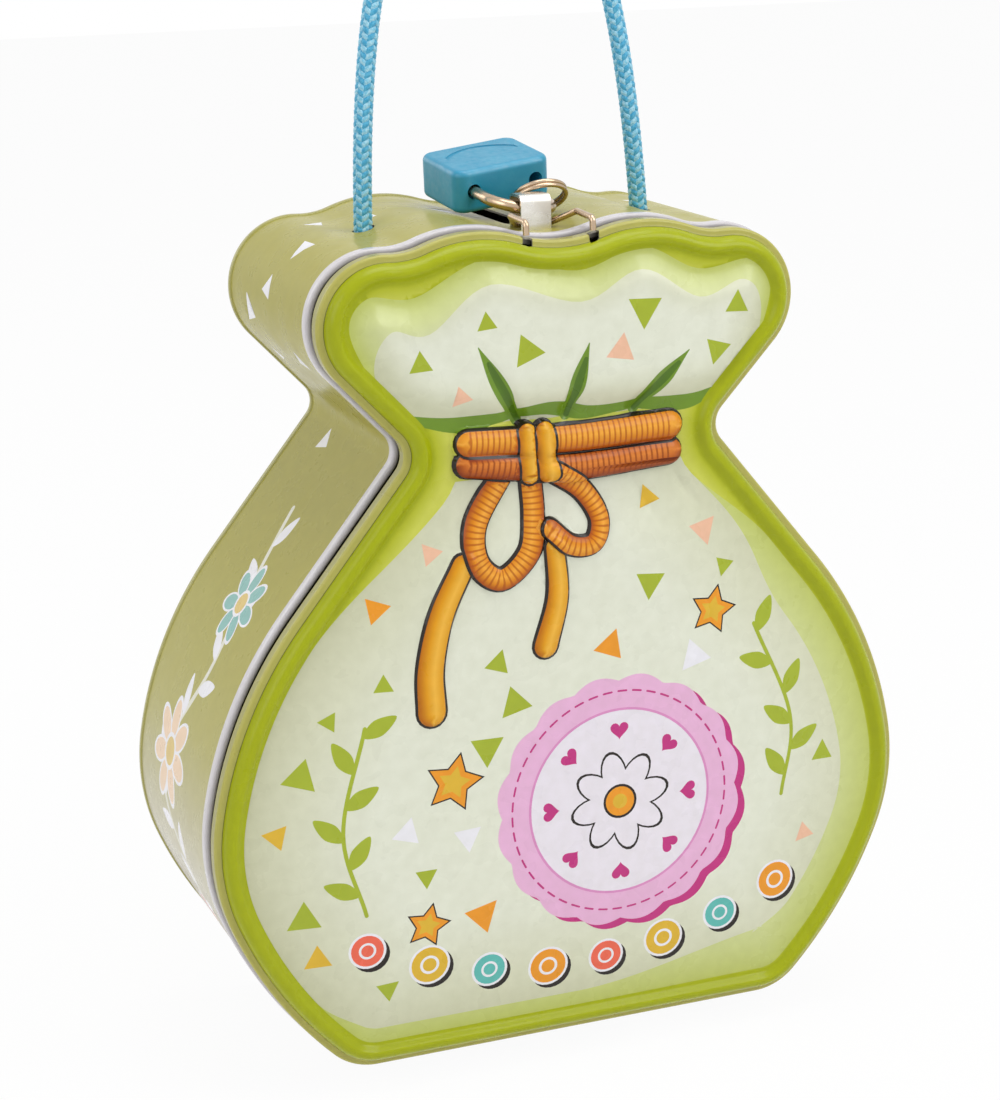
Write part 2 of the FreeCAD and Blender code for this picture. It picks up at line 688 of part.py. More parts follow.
def build():
    parts = {
        "side_band": side_band(),
        "back_panel": back_panel(),
        "front_lid": front_lid(),
        "hasp_staple": hasp_staple(),
        "latch_clasp": latch_clasp(),
        "padlock_case": in_place(padlock_case(), case_place()),
        "padlock_shackle": in_place(padlock_shackle(), shackle_place()),
        "padlock_plug": in_place(padlock_plug(), case_place()),
        "padlock_bolt": in_place(padlock_bolt(), case_place()),
        "padlock_spring": in_place(padlock_spring(), case_place()),
        "shackle_retainer": in_place(shackle_retainer(), case_place()),
        "key_ring": key_ring(),
        "cord_handle": cord_handle(),
    }
    for side, name in ((-1, "left"), (1, "right")):
        parts["body_hinge_" + name] = body_hinge(side)
        parts["lid_hinge_" + name] = lid_hinge(side)
        parts["hinge_pin_" + name] = hinge_pin(side)
        parts["cord_knot_" + name] = cord_knot(side)
    return parts


os.makedirs("parts", exist_ok=True)
for node, shape in build().items():
    shape.translate(Vector(0, RIM_Y, 0))
    shape.exportStep("parts/" + node + ".step")
    size = shape.BoundBox
    print(node, shape.isValid(), len(shape.Solids), len(shape.Faces), round(shape.Volume, 1))
    print("   x", round(size.XMin, 2), round(size.XMax, 2), "y", round(size.YMin, 2), round(size.YMax, 2),
          "z", round(size.ZMin, 2), round(size.ZMax, 2))
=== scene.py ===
import math

import bpy
import numpy as np
from mathutils import Matrix, Vector
from mathutils.geometry import delaunay_2d_cdt


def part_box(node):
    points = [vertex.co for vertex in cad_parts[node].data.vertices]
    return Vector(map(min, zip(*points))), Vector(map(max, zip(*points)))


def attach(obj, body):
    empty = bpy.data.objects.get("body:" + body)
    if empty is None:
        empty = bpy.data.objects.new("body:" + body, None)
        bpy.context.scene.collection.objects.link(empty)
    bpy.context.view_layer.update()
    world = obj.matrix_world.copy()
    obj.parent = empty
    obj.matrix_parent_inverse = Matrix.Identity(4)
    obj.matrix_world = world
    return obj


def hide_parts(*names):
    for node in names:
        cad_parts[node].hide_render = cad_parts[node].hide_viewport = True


# Printed tin money box shaped like a tied bag. Sizes are in mm and become metres when a mesh is made.
MM = 0.001
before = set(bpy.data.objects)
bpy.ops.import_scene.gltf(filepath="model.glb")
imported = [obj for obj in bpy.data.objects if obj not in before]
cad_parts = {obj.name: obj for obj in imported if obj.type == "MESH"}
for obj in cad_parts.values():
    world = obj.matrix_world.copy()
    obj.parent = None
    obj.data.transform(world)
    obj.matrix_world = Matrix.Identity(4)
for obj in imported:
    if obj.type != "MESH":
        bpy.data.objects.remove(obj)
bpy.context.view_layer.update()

# Bag outline, right half, as circles that touch one another
BELLY_HALF_WIDTH = 71.0
BELLY_Z = 47.4
BELLY_RADIUS = 41.2
FLANK_RADIUS = 80.0
FLANK_ANGLE = 10.0
LOWER_RADIUS = 85.0
LOWER_ANGLE = -21.6
CORNER_RADIUS = 12.3
CORNER_ANGLE = -44.8
NECK_HALF_WIDTH = 31.7
NECK_RISE = 72.3
NECK_RADIUS = 4.5
SHOULDER_HALF_WIDTH = 47.5
SHOULDER_RISE = 24.0
SHOULDER_RADIUS = 13.4
DIP_RADIUS = 15.4
DIP_ANGLE = 94.0
CREST_RADIUS = 28.0
CREST_ANGLE = 249.0
VALLEY_RADIUS = 26.4
NECK_Z = BELLY_Z + NECK_RISE

# Band, hem and seam
RIM_Y = -21.5
BODY_DEPTH = 52.0
SHEET = 0.4
HEM_DEPTH = 2.5
HEM_PROUD = 0.3
HEM_INSIDE = 1.0
HEM_ROUND = 0.5
HEM_OVERLAP = 0.6
SEAM_DEPTH = 1.6
SEAM_INSIDE = 2.4
SEAM_ROUND = 0.45
EDGE_LIFT = 0.15
CORD_HOLE_X = 28.6
CORD_HOLE_RADIUS = 2.2
CORD_HOLE_DEPTH = 23.5
SLOT_HALF_WIDTH = 2.3
SLOT_START = 16.5
SLOT_END = 47.0

# Lid: heights are measured forwards from the rim
LID_INSET = 1.5
LID_PLUG = 5.0
COLLAR_INSET = 0.2
COLLAR_GAP = 2.3
LEDGE_PROUD = 5.0
LEDGE_ROUND = 0.6
SMALL_EDGE = 0.1
ROW_GAP = 0.5
GROOVE_FOOT = (0.08, 0.02)
# Heights between which the groove beside the bead is painted in shade
GROOVE_SHADE_START = 0.05
GROOVE_SHADE_END = 0.3
BEAD_INSET = 1.6
CREST_INSET = 3.6
LID_PROUD = 7.5
FACE_INSET = 5.4
FACE_PROUD = 6.3
BELLY_RISE = 2.6
BELLY_REACH = 30.0
BELLY_FADE = (98.0, 114.0)
FRILL_RISE = 1.9
FRILL_REACH = 6.0
HINGE_NOTCH = (8.7, 32.4)
HINGE_NOTCH_TOP = 2.4
HINGE_NOTCH_PROUD = 4.2
CLASP_HOLE_X = 6.6
CLASP_HOLE_PROUD = 4.4
CLASP_HOLE_RADIUS = 1.1
CLASP_HOLE_SNAP = 0.36

# Fineness of the outlines and meshes
OUTLINE_STEP = 0.7
CAP_POINTS = 10
COLLAR_ROWS = 5
FACE_STEP = 1.0
FACE_ROW_SHARE = 0.87
SLOPE_STEP = 0.05
BAND_STEP = (1.5, 2.4)
BAND_MARGIN = (1.0, 1.6)
BAND_END_MARGIN = 0.6
HOLE_SIDES = 28
BORDER_POINTS = 40

# Camera that took the photograph, as a frame of 1000 by 1100 pixels
IMAGE_HEIGHT = 1100
FOCAL_PIXELS = 2551.8
SENSOR_HEIGHT = 24.0
CAMERA_PLACE = Vector((-0.17707, -0.45502, 0.22619))
CAMERA_RIGHT = Vector((0.93181, -0.36235, -0.02079))
CAMERA_UP = Vector((0.11479, 0.23988, 0.96399))


# Flat geometry

def outline_circles():
    """Centre x, centre z and radius from the top valley clockwise to the bottom corner."""
    def polar(angle, length):
        return np.array((math.cos(math.radians(angle)), math.sin(math.radians(angle)))) * length

    belly = np.array((BELLY_HALF_WIDTH - BELLY_RADIUS, BELLY_Z))
    flank = belly - polar(FLANK_ANGLE, FLANK_RADIUS - BELLY_RADIUS)
    lower = belly - polar(LOWER_ANGLE, LOWER_RADIUS - BELLY_RADIUS)
    corner = lower + polar(CORNER_ANGLE, LOWER_RADIUS - CORNER_RADIUS)
    neck = np.array((NECK_HALF_WIDTH + NECK_RADIUS, NECK_Z))
    shoulder = np.array((SHOULDER_HALF_WIDTH - SHOULDER_RADIUS, neck[1] + SHOULDER_RISE))
    dip = shoulder + polar(DIP_ANGLE, SHOULDER_RADIUS + DIP_RADIUS)
    crest = dip + polar(CREST_ANGLE, DIP_RADIUS + CREST_RADIUS)
    valley_rise = math.sqrt((VALLEY_RADIUS + CREST_RADIUS) ** 2 - crest[0] ** 2)
    valley = np.array((0.0, crest[1] + valley_rise))
    floor = corner[1] - CORNER_RADIUS
    circles = [
        (valley, -VALLEY_RADIUS),
        (crest, CREST_RADIUS),
        (dip, -DIP_RADIUS),
        (shoulder, SHOULDER_RADIUS),
        (neck, -NECK_RADIUS),
        (flank, FLANK_RADIUS),
        (belly, BELLY_RADIUS),
        (lower, LOWER_RADIUS),
        (corner, CORNER_RADIUS),
    ]
    return [(centre[0], centre[1] - floor, radius) for centre, radius in circles]


def bag_outline():
    """Points round the bag, clockwise from the middle of the bottom, and their outward normals."""
    right = outline_circles()
    ring = right + [(-x, z, radius) for x, z, radius in reversed(right[1:])]
    turns = []
    for number, (x, z, radius) in enumerate(ring):
        next_x, next_z, next_radius = ring[(number + 1) % len(ring)]
        span = math.hypot(next_x - x, next_z - z)
        share = max(-1.0, min(1.0, (radius - next_radius) / span))
        turns.append(math.atan2(next_z - z, next_x - x) + math.acos(share))
    points = []
    normals = []
    for number, (x, z, radius) in enumerate(ring):
        start = turns[number - 1]
        turn = (turns[number] - start + math.pi) % (2 * math.pi) - math.pi
        count = max(2, round(abs(radius * turn) / OUTLINE_STEP))
        for angle in np.linspace(start, start + turn, count, endpoint=False):
            normals.append((math.cos(angle), math.sin(angle)))
            points.append((x + radius * normals[-1][0], z + radius * normals[-1][1]))
        way = np.array((math.cos(turns[number]), math.sin(turns[number])))
        end = np.array((x, z)) + radius * way
        next_x, next_z, next_radius = ring[(number + 1) % len(ring)]
        begin = np.array((next_x, next_z)) + next_radius * way
        count = round(np.linalg.norm(begin - end) / OUTLINE_STEP)
        for share in np.arange(count) / max(count, 1):
            points.append(tuple(end + (begin - end) * share))
            normals.append(tuple(way))
    points = np.array(points)
    normals = np.array(normals)
    bottom = np.argmin(np.abs(points[:, 0]) + points[:, 1])
    return np.roll(points, -bottom, axis=0), np.roll(normals, -bottom, axis=0)


def smooth_line(points, steps=8, closed=False):
    """Curve through the points, as a Catmull-Rom spline."""
    points = np.array(points, float)
    if closed:
        padded = np.vstack((points[-1:], points, points[:2]))
    else:
        padded = np.vstack((2 * points[0] - points[1], points, 2 * points[-1] - points[-2]))
    line = []
    for a, b, c, d in zip(padded, padded[1:], padded[2:], padded[3:]):
        for t in np.arange(steps) / steps:
            bend = (2 * a - 5 * b + 4 * c - d) * t * t + (3 * b - a - 3 * c + d) * t ** 3
            line.append(0.5 * (2 * b + (c - a) * t + bend))
    if not closed:
        line.append(points[-1])
    return np.array(line)


def disc(centre, radius, sides=24, stretch=1.0):
    """Round outline, or an oval one when it is stretched."""
    angles = np.arange(sides) * 2 * math.pi / sides
    round_points = np.column_stack((np.cos(angles) * stretch, np.sin(angles)))
    return np.array(centre) + radius * round_points


def star(centre, radius, inner, points, turn):
    angles = np.radians(turn) + np.arange(2 * points) * math.pi / points
    lengths = np.where(np.arange(2 * points) % 2 == 0, radius, inner)
    return np.array(centre) + np.column_stack((np.cos(angles), np.sin(angles))) * lengths[:, None]


def turned(points, angle, centre):
    """Points turned about the origin, by degrees, and then moved to a centre."""
    cosine = math.cos(math.radians(angle))
    sine = math.sin(math.radians(angle))
    turn = np.array(((cosine, sine), (-sine, cosine)))
    return np.array(points, float) @ turn + np.array(centre)


def ribbon(line, half_width):
    """Closed outline of a strip with round ends along a line."""
    line = np.array(line, float)
    widths = np.broadcast_to(np.array(half_width, float), (len(line),))
    along = np.gradient(line, axis=0)
    along /= np.linalg.norm(along, axis=1)[:, None]
    side = np.column_stack((-along[:, 1], along[:, 0]))
    angles = np.linspace(0, math.pi, CAP_POINTS)[1:-1, None]
    caps = []
    for place, sign in ((0, -1), (-1, 1)):
        round_end = sign * (np.cos(angles) * side[place] + np.sin(angles) * along[place])
        caps.append(line[place] + round_end * widths[place])
    left = line + side * widths[:, None]
    right = line - side * widths[:, None]
    return np.vstack((left, caps[1], right[::-1], caps[0]))


def inside(points, loop):
    """Which points lie inside a closed outline."""
    x, z = points[:, 0], points[:, 1]
    found = np.zeros(len(points), bool)
    low, high = loop.min(axis=0), loop.max(axis=0)
    near = np.flatnonzero((x >= low[0]) & (x <= high[0]) & (z >= low[1]) & (z <= high[1]))
    x, z = x[near], z[near]
    hits = np.zeros(len(near), bool)
    for (ax, az), (bx, bz) in zip(loop, np.roll(loop, -1, axis=0)):
        if az != bz:
            crosses = (az > z) != (bz > z)
            hits ^= crosses & (x < (bx - ax) * (z - az) / (bz - az) + ax)
    found[near] = hits
    return found


def distance(points, line, closed=False):
    """Distance from each point to a line, the signed side of it and the length along it."""
    starts = np.array(line, float)
    ends = np.roll(starts, -1, axis=0)
    if not closed:
        starts, ends = starts[:-1], ends[:-1]
    best = np.full(len(points), np.inf)
    sides = np.ones(len(points))
    lengths = np.zeros(len(points))
    travelled = 0.0
    for a, b in zip(starts, ends):
        way = b - a
        span = math.hypot(*way)
        if span == 0:
            continue
        offset = points - a
        share = np.clip(offset @ way / span ** 2, 0, 1)
        gap = np.hypot(offset[:, 0] - share * way[0], offset[:, 1] - share * way[1])
        closer = gap < best
        best = np.where(closer, gap, best)
        cross = way[0] * offset[:, 1] - way[1] * offset[:, 0]
        sides = np.where(closer, np.where(cross > 0, 1.0, -1.0), sides)
        lengths = np.where(closer, travelled + share * span, lengths)
        travelled += span
    return best, sides, lengths


def rising(value, start, end):
    """Smooth step from nought at the start to one at the end."""
    share = np.clip((value - start) / (end - start), 0, 1)
    return share * share * (3 - 2 * share)


def divide(border, loops, spots):
    """Triangles inside a border, cut along every loop, and the place of each border point."""
    loops = [np.array(border)] + [np.array(loop) for loop in loops]
    points = np.vstack(loops + [spots])
    edges = []
    first = 0
    for loop in loops:
        count = len(loop)
        edges += [(first + k, first + (k + 1) % count) for k in range(count)]
        first += count
    flat = [Vector(point) for point in points]
    found, _, faces, origins, _, _ = delaunay_2d_cdt(flat, edges, [], 0, 1e-4)
    corners = np.array([tuple(point) for point in found])
    faces = np.array([tuple(face) for face in faces])
    middles = corners[faces].mean(axis=1)
    faces = faces[inside(middles, loops[0])]
    border_places = np.full(len(border), -1)
    for place, sources in enumerate(origins):
        for source in sources:
            if source < len(border):
                border_places[source] = place
    return corners, faces, border_places


OUTLINE, OUTWARD = bag_outline()
FACE_RING = OUTLINE - OUTWARD * FACE_INSET


# Meshes

def new_object(name, mesh):
    piece = bpy.data.objects.new(name, mesh)
    bpy.context.scene.collection.objects.link(piece)
    return piece


def tin_sheet(name, points, normals, faces, looks, materials, lining, values=None):
    """A stamped sheet: the printed side as given, its bare inside one sheet thickness behind it."""
    points = np.array(points, float)
    normals = np.array(normals, float)
    faces = [list(face) for face in faces]
    for face in faces:
        a, b, c = points[face[0]], points[face[1]], points[face[2]]
        if np.dot(np.cross(b - a, c - a), normals[face].sum(axis=0)) < 0:
            face.reverse()
    count = len(points)
    used = dict.fromkeys((a, b) for face in faces for a, b in zip(face, face[1:] + face[:1]))
    rims = [(a, b) for a, b in used if (b, a) not in used]
    corners = np.vstack((points, points - normals * SHEET))
    ways = np.vstack((normals, -normals))
    all_faces = faces + [[count + k for k in reversed(face)] for face in faces]
    all_looks = list(looks) + [len(materials)] * len(faces)
    rim_corners = []
    rim_ways = []
    for a, b in rims:
        quad = np.array((corners[b], corners[a], corners[count + a], corners[count + b]))
        way = np.cross(quad[1] - quad[0], quad[2] - quad[1])
        start = 2 * count + len(rim_corners)
        rim_corners += list(quad)
        rim_ways += [way / max(np.linalg.norm(way), 1e-9)] * 4
        all_faces.append([start, start + 1, start + 2, start + 3])
        all_looks.append(len(materials))
    corners = np.vstack((corners, rim_corners))
    piece = mesh_piece(name, corners * MM, all_faces, all_looks, materials + [lining])
    mesh = piece.data
    for label, numbers in (values or {}).items():
        layer = mesh.attributes.new(label, "FLOAT", "POINT")
        padded = np.zeros(len(corners), np.float32)
        padded[:2 * count] = np.tile(numbers, 2)
        layer.data.foreach_set("value", padded)
    mesh.normals_split_custom_set_from_vertices(np.vstack((ways, rim_ways)).tolist())
    return piece


def mesh_piece(name, points, faces, looks, materials):
    """A smooth mesh in metres, with a number into the materials for each face."""
    mesh = bpy.data.meshes.new(name)
    mesh.from_pydata([tuple(point) for point in points], [], faces)
    for material in materials:
        mesh.materials.append(material)
    mesh.polygons.foreach_set("material_index", looks)
    mesh.polygons.foreach_set("use_smooth", [True] * len(faces))
    mesh.update()
    return new_object(name, mesh)


def swept_rows(profile):
    """Points and normals of a profile of inset and height carried round the bag, row after row."""
    slopes = np.gradient(np.array(profile, float), axis=0)
    slopes /= np.linalg.norm(slopes, axis=1)[:, None]
    points = []
    ways = []
    for (inset, height), (forward, out) in zip(profile, slopes):
        row = OUTLINE - OUTWARD * inset
        points.append(np.insert(row, 1, RIM_Y - height, axis=1))
        ways.append(np.insert(OUTWARD * out, 1, -forward, axis=1))
    return np.vstack(points), np.vstack(ways)


def row_faces(rows, columns):
    """Faces between neighbouring rows of corners, each row closed on itself."""
    faces = []
    for row in range(rows - 1):
        for k in range(columns):
            after = (k + 1) % columns
            low = row * columns
            faces.append((low + k, low + after, low + columns + after, low + columns + k))
    return faces


# Materials

DEEP_INK_GLOSS = 0.6
BAND_GLOSS = 0.35
VARNISH_GLOSS = 0.3
VARNISH_COAT = 0.22
VARNISH_COAT_ROUGHNESS = 0.05
VARNISH_ROUGHNESS = (0.24, 0.34)
MOTTLED_INK = (0.62, 0.62, 0.52, 1.0)
WORN_METAL = (0.7, 0.66, 0.6, 1.0)
FINE_BUMP = 0.0001


def colour(code):
    """Linear colour of a hex code."""
    parts = [int(code[k:k + 2], 16) / 255 for k in (1, 3, 5)]
    linear = [part / 12.92 if part <= 0.04045 else ((part + 0.055) / 1.055) ** 2.4 for part in parts]
    return (*linear, 1.0)


def add_node(tree, kind, **values):
    """A new node, with values for its sockets or else for its settings."""
    node = tree.nodes.new(kind)
    for key, value in values.items():
        if key in node.inputs:
            node.inputs[key].default_value = value
        else:
            setattr(node, key, value)
    return node


def new_material(name):
    material = bpy.data.materials.new(name)
    material.use_nodes = True
    tree = material.node_tree
    return material, tree, tree.nodes["Principled BSDF"]


def link(source, node, key):
    source.id_data.links.new(source, node.inputs[key])


def noise(tree, scale, detail=3.0):
    """Grain fixed to the object."""
    place = add_node(tree, "ShaderNodeTexCoord")
    grain = add_node(tree, "ShaderNodeTexNoise", Scale=scale, Detail=detail)
    link(place.outputs["Object"], grain, "Vector")
    return grain.outputs["Fac"]


def spread(tree, source, start, stop, low, high, clamp=True):
    """A value between start and stop carried over to the range from low to high."""
    reach = add_node(tree, "ShaderNodeMapRange", clamp=clamp)
    for key, value in (("From Min", start), ("From Max", stop), ("To Min", low), ("To Max", high)):
        reach.inputs[key].default_value = value
    link(source, reach, "Value")
    return reach.outputs["Result"]


def mix(tree, share, first, second, blend="MIX"):
    node = add_node(tree, "ShaderNodeMix", data_type="RGBA", blend_type=blend)
    for key, value in (("Factor", share), (6, first), (7, second)):
        if isinstance(value, (tuple, float)):
            node.inputs[key].default_value = value
        else:
            link(value, node, key)
    return node.outputs[2]


def bump(tree, shader, source, strength, depth):
    node = add_node(tree, "ShaderNodeBump", Strength=strength, Distance=depth)
    link(source, node, "Height")
    link(node.outputs["Normal"], shader, "Normal")


def finish_lacquer(tree, shader, tint, gloss=1.0):
    """Varnished print on tin: fine mottling in the ink and a slight orange peel in the varnish."""
    mottle = spread(tree, noise(tree, 420.0, 5.0), 0.3, 0.7, 0.0, 0.16)
    ink = mix(tree, mottle, tint, MOTTLED_INK, "MULTIPLY")
    link(ink, shader, "Base Color")
    rough = spread(tree, noise(tree, 160.0), 0.3, 0.7, *VARNISH_ROUGHNESS)
    link(rough, shader, "Roughness")
    shader.inputs["Specular IOR Level"].default_value = VARNISH_GLOSS * gloss
    shader.inputs["Coat Weight"].default_value = VARNISH_COAT * gloss
    shader.inputs["Coat Roughness"].default_value = VARNISH_COAT_ROUGHNESS
    bump(tree, shader, noise(tree, 320.0, 2.0), 0.02, FINE_BUMP)


def lacquer(name, code):
    material, tree, shader = new_material(name)
    finish_lacquer(tree, shader, colour(code))
    return material


def faded_lacquer(name, label, stops, gloss=1.0):
    """Print whose ink changes along a value that the mesh carries."""
    material, tree, shader = new_material(name)
    value = add_node(tree, "ShaderNodeAttribute", attribute_name=label)
    ramp = add_node(tree, "ShaderNodeValToRGB")
    set_stops(ramp, stops)
    link(value.outputs["Fac"], ramp, "Fac")
    finish_lacquer(tree, shader, ramp.outputs["Color"], gloss)
    return material


def set_stops(ramp, stops):
    """Colours of a ramp, as places and hex codes."""
    marks = ramp.color_ramp.elements
    while len(marks) < len(stops):
        marks.new(0.5)
    for mark, (place, code) in zip(marks, stops):
        mark.position = place
        mark.color = colour(code)


def rope_lacquer(name, light, middle, dark, ribs):
    """Printed rope: lit along its middle, dark at its edge, with ribs across it."""
    material, tree, shader = new_material(name)
    across = add_node(tree, "ShaderNodeAttribute", attribute_name="across")
    ramp = add_node(tree, "ShaderNodeValToRGB")
    set_stops(ramp, ((0.02, dark), (0.3, middle), (0.62, light), (0.98, middle)))
    link(spread(tree, across.outputs["Fac"], -1.0, 1.0, 0.0, 1.0), ramp, "Fac")
    tint = ramp.outputs["Color"]
    if ribs:
        along = add_node(tree, "ShaderNodeAttribute", attribute_name="along")
        wave = add_node(tree, "ShaderNodeMath", operation="SINE")
        turns = spread(tree, along.outputs["Fac"], 0.0, 1.0, 0.0, 2 * math.pi / ribs, clamp=False)
        link(turns, wave, 0)
        shade = spread(tree, wave.outputs["Value"], 0.1, 0.9, 0.0, 0.75)
        tint = mix(tree, shade, tint, colour(dark))
    finish_lacquer(tree, shader, tint, DEEP_INK_GLOSS)
    return material


# Band inks by height: the brown at the bottom is painted shade, then the pale printed ground and the olive
# print
BAND_GROUND_AND_SHADE = (
    (0.02, "#6f5d42"), (0.12, "#998b70"), (0.22, "#cdc8b2"), (0.4, "#b7b168"), (0.58, "#aba44a"),
)
BAND_GROUND_HEIGHT = 0.16
BACK_INK = "#b1ab63"
INSIDE_TIN = "#bab6ac"


def band_lacquer_and_shade():
    """Olive ink that fades to a pale printed ground low on the band, with brown painted shade at its
    bottom.
    """
    material, tree, shader = new_material("band_print")
    place = add_node(tree, "ShaderNodeTexCoord")
    split = add_node(tree, "ShaderNodeSeparateXYZ")
    link(place.outputs["Object"], split, "Vector")
    ramp = add_node(tree, "ShaderNodeValToRGB")
    set_stops(ramp, BAND_GROUND_AND_SHADE)
    height = spread(tree, split.outputs["Z"], 0.0, BAND_GROUND_HEIGHT, 0.0, 1.0)
    link(height, ramp, "Fac")
    finish_lacquer(tree, shader, ramp.outputs["Color"], BAND_GLOSS)
    return material


def back_lacquer():
    """Olive print on the rear of the back panel, and bare tin on the side that faces into the bag."""
    material, tree, shader = new_material("back_print")
    place = add_node(tree, "ShaderNodeTexCoord")
    split = add_node(tree, "ShaderNodeSeparateXYZ")
    link(place.outputs["Normal"], split, "Vector")
    inward = spread(tree, split.outputs["Y"], 0.0, -0.2, 0.0, 1.0)
    finish_lacquer(tree, shader, mix(tree, inward, colour(BACK_INK), colour(INSIDE_TIN)))
    link(inward, shader, "Metallic")
    return material


def metal(name, code, rough, grain_scale):
    """Bright metal with worn patches and a fine grain."""
    material, tree, shader = new_material(name)
    streak = noise(tree, grain_scale, 6.0)
    worn = spread(tree, streak, 0.35, 0.7, 0.0, 0.45)
    tint = mix(tree, worn, colour(code), WORN_METAL, "MULTIPLY")
    link(tint, shader, "Base Color")
    link(spread(tree, streak, 0.3, 0.7, rough, rough + 0.16), shader, "Roughness")
    shader.inputs["Metallic"].default_value = 1.0
    bump(tree, shader, noise(tree, grain_scale * 2.5, 2.0), 0.08, FINE_BUMP)
    return material


def moulded_plastic(name, code, worn_and_sheen_code):
    """Matt plastic with paler patches, partly wear and partly a painted sheen."""
    material, tree, shader = new_material(name)
    worn = spread(tree, noise(tree, 300.0, 6.0), 0.4, 0.75, 0.0, 0.2)
    link(mix(tree, worn, colour(code), colour(worn_and_sheen_code)), shader, "Base Color")
    link(spread(tree, noise(tree, 900.0), 0.3, 0.7, 0.3, 0.5), shader, "Roughness")
    shader.inputs["Specular IOR Level"].default_value = 0.85
    bump(tree, shader, noise(tree, 1500.0, 4.0), 0.12, FINE_BUMP)
    return material


def yarn(name, code, light):
    """Soft yarn of fine fibres in two shades."""
    material, tree, shader = new_material(name)
    strands = spread(tree, noise(tree, 2600.0, 5.0), 0.35, 0.68, 0.0, 1.0)
    link(mix(tree, strands, colour(code), colour(light)), shader, "Base Color")
    shader.inputs["Roughness"].default_value = 0.62
    shader.inputs["Sheen Weight"].default_value = 0.35
    bump(tree, shader, noise(tree, 5200.0, 2.0), 0.35, FINE_BUMP)
    return material


bare_tin = metal("bare_tin", "#f2f0ea", 0.18, 240.0)
inner_tin = metal("inner_tin", INSIDE_TIN, 0.44, 240.0)
nickel_wire = metal("nickel_wire", "#c6ae94", 0.16, 500.0)
brass = metal("lock_brass", "#c2a257", 0.26, 500.0)
white_hem = lacquer("hem_white", "#d4d0d4")
back_print = back_lacquer()
seam_print = lacquer("rear_seam_print", "#a9a45c")
# The paler blue patches on the padlock are partly wear and partly painted sheen
padlock_blue = moulded_plastic("padlock_blue", "#0d8fb4", "#4fb6cf")

# Inks that change from the edge of their ground inwards
BORDER_INKS = ((0.0, "#a6af0c"), (0.03, "#b8bf2c"), (0.13, "#cdd158"))
PALE_INKS = ((0.0, "#bfc866"), (0.3, "#cdd58d"), (1.0, "#dbe0b2"))
# The cream darkens towards the edge of its ground: partly the print, partly painted shade
CREAM_INKS_AND_SHADE = ((0.0, "#cacbab"), (0.4, "#d9dbc0"), (1.0, "#e5e8d6"))
WALL_INKS = {
    # painted shade: near-black ink on the plug wall, where the gap between hem and collar lies in shade
    "plug_wall_painted_shade": "#332f16",
    # painted shade: a darker copy of the collar's olive on its side wall
    "collar_wall_painted_shade": "#9d9844",
    "collar": "#b6b158",
    # painted shade: dark olive in the groove at the bead's root
    "groove_painted_shade": "#6f7414",
}
PRINT_INKS = {
    "shadow_green": "#6f9220",
    "deep_green": "#4f7310",
    "green": "#a6b52a",
    "gold": "#e0b52f",
    "orange": "#ef9a1c",
    "salmon": "#f0bfa0",
    "white": "#efeef4",
    "ink": "#20160f",
    "coral": "#f0694f",
    "teal": "#5fbcb5",
    "pink": "#eab6da",
    "rose": "#dd8fc4",
    "magenta": "#c42f80",
    "panel": "#ece6ef",
}
ROPE_RIBS = 1.1
LID_LOOKS = {
    "border": faded_lacquer("lid_border", "fade", BORDER_INKS, DEEP_INK_GLOSS),
    "pale_green": faded_lacquer("lid_pale_green", "fade", PALE_INKS),
    "cream": faded_lacquer("lid_cream", "fade", CREAM_INKS_AND_SHADE),
}
LID_LOOKS.update({look: lacquer("lid_" + look, code) for look, code in WALL_INKS.items()})
LID_LOOKS.update({look: lacquer("print_" + look, code) for look, code in PRINT_INKS.items()})
LID_LOOKS["rope"] = rope_lacquer("print_rope", "#f2ab3e", "#df8a18", "#b0500f", ROPE_RIBS)
LID_LOOKS["rope_low"] = rope_lacquer("print_rope_low", "#de8436", "#c3641c", "#8a350b", ROPE_RIBS)
LID_LOOKS["rope_end"] = rope_lacquer("print_rope_end", "#f2ba44", "#e39d16", "#c2700c", 0)
LOOK_NAMES = list(LID_LOOKS)
BAND_PRINT_INKS = {
    "coral": "#e08a76",
    "gold": "#dcbf66",
    "teal": "#7db7b0",
    "peach": "#f0d0ae",
    "stem": "#e4e2d2",
}
BAND_LOOKS = {"ground": band_lacquer_and_shade(), "white": LID_LOOKS["white"]}
BAND_LOOKS.update({look: lacquer("band_" + look, code) for look, code in BAND_PRINT_INKS.items()})
BAND_LOOK_NAMES = list(BAND_LOOKS)


# Printed design of the lid, as outlines in the order they are laid down

FRILL_FOOT = (
    (37.5, 132.0), (31.0, 126.5), (20.0, 124.5), (0.0, 124.5),
    (-20.0, 125.0), (-29.0, 127.0), (-36.0, 132.5),
)
FRILL_EDGE = (
    (-41.5, 143.5), (-38.0, 149.5), (-29.0, 149.0), (-15.0, 155.0), (2.5, 151.5),
    (15.5, 155.0), (27.0, 150.0), (38.0, 151.0), (42.0, 145.0),
)
FRILL_CREAM = (
    (-37.0, 139.0), (-34.0, 143.5), (-27.0, 142.5), (-15.0, 150.5), (2.5, 146.0),
    (15.0, 151.0), (26.5, 145.0), (36.0, 147.5), (40.0, 141.5),
)
FRILL_SHADOW = (
    (-30.0, 126.5), (-22.0, 125.0), (-14.0, 125.5), (-4.0, 126.5),
    (4.0, 125.0), (14.0, 125.5), (24.0, 125.0), (30.0, 126.5),
)
FRILL_SHADOW_WIDTH = 0.9
FRILL_SHADOW_SWELL = 0.6
FRILL_SHADOW_TURN = 9.4
FRILL_FADE = 9.0
FRILL_LOOP = smooth_line(FRILL_EDGE + FRILL_FOOT, closed=True)
FRILL_CREAM_LOOP = smooth_line(FRILL_CREAM + FRILL_FOOT, closed=True)
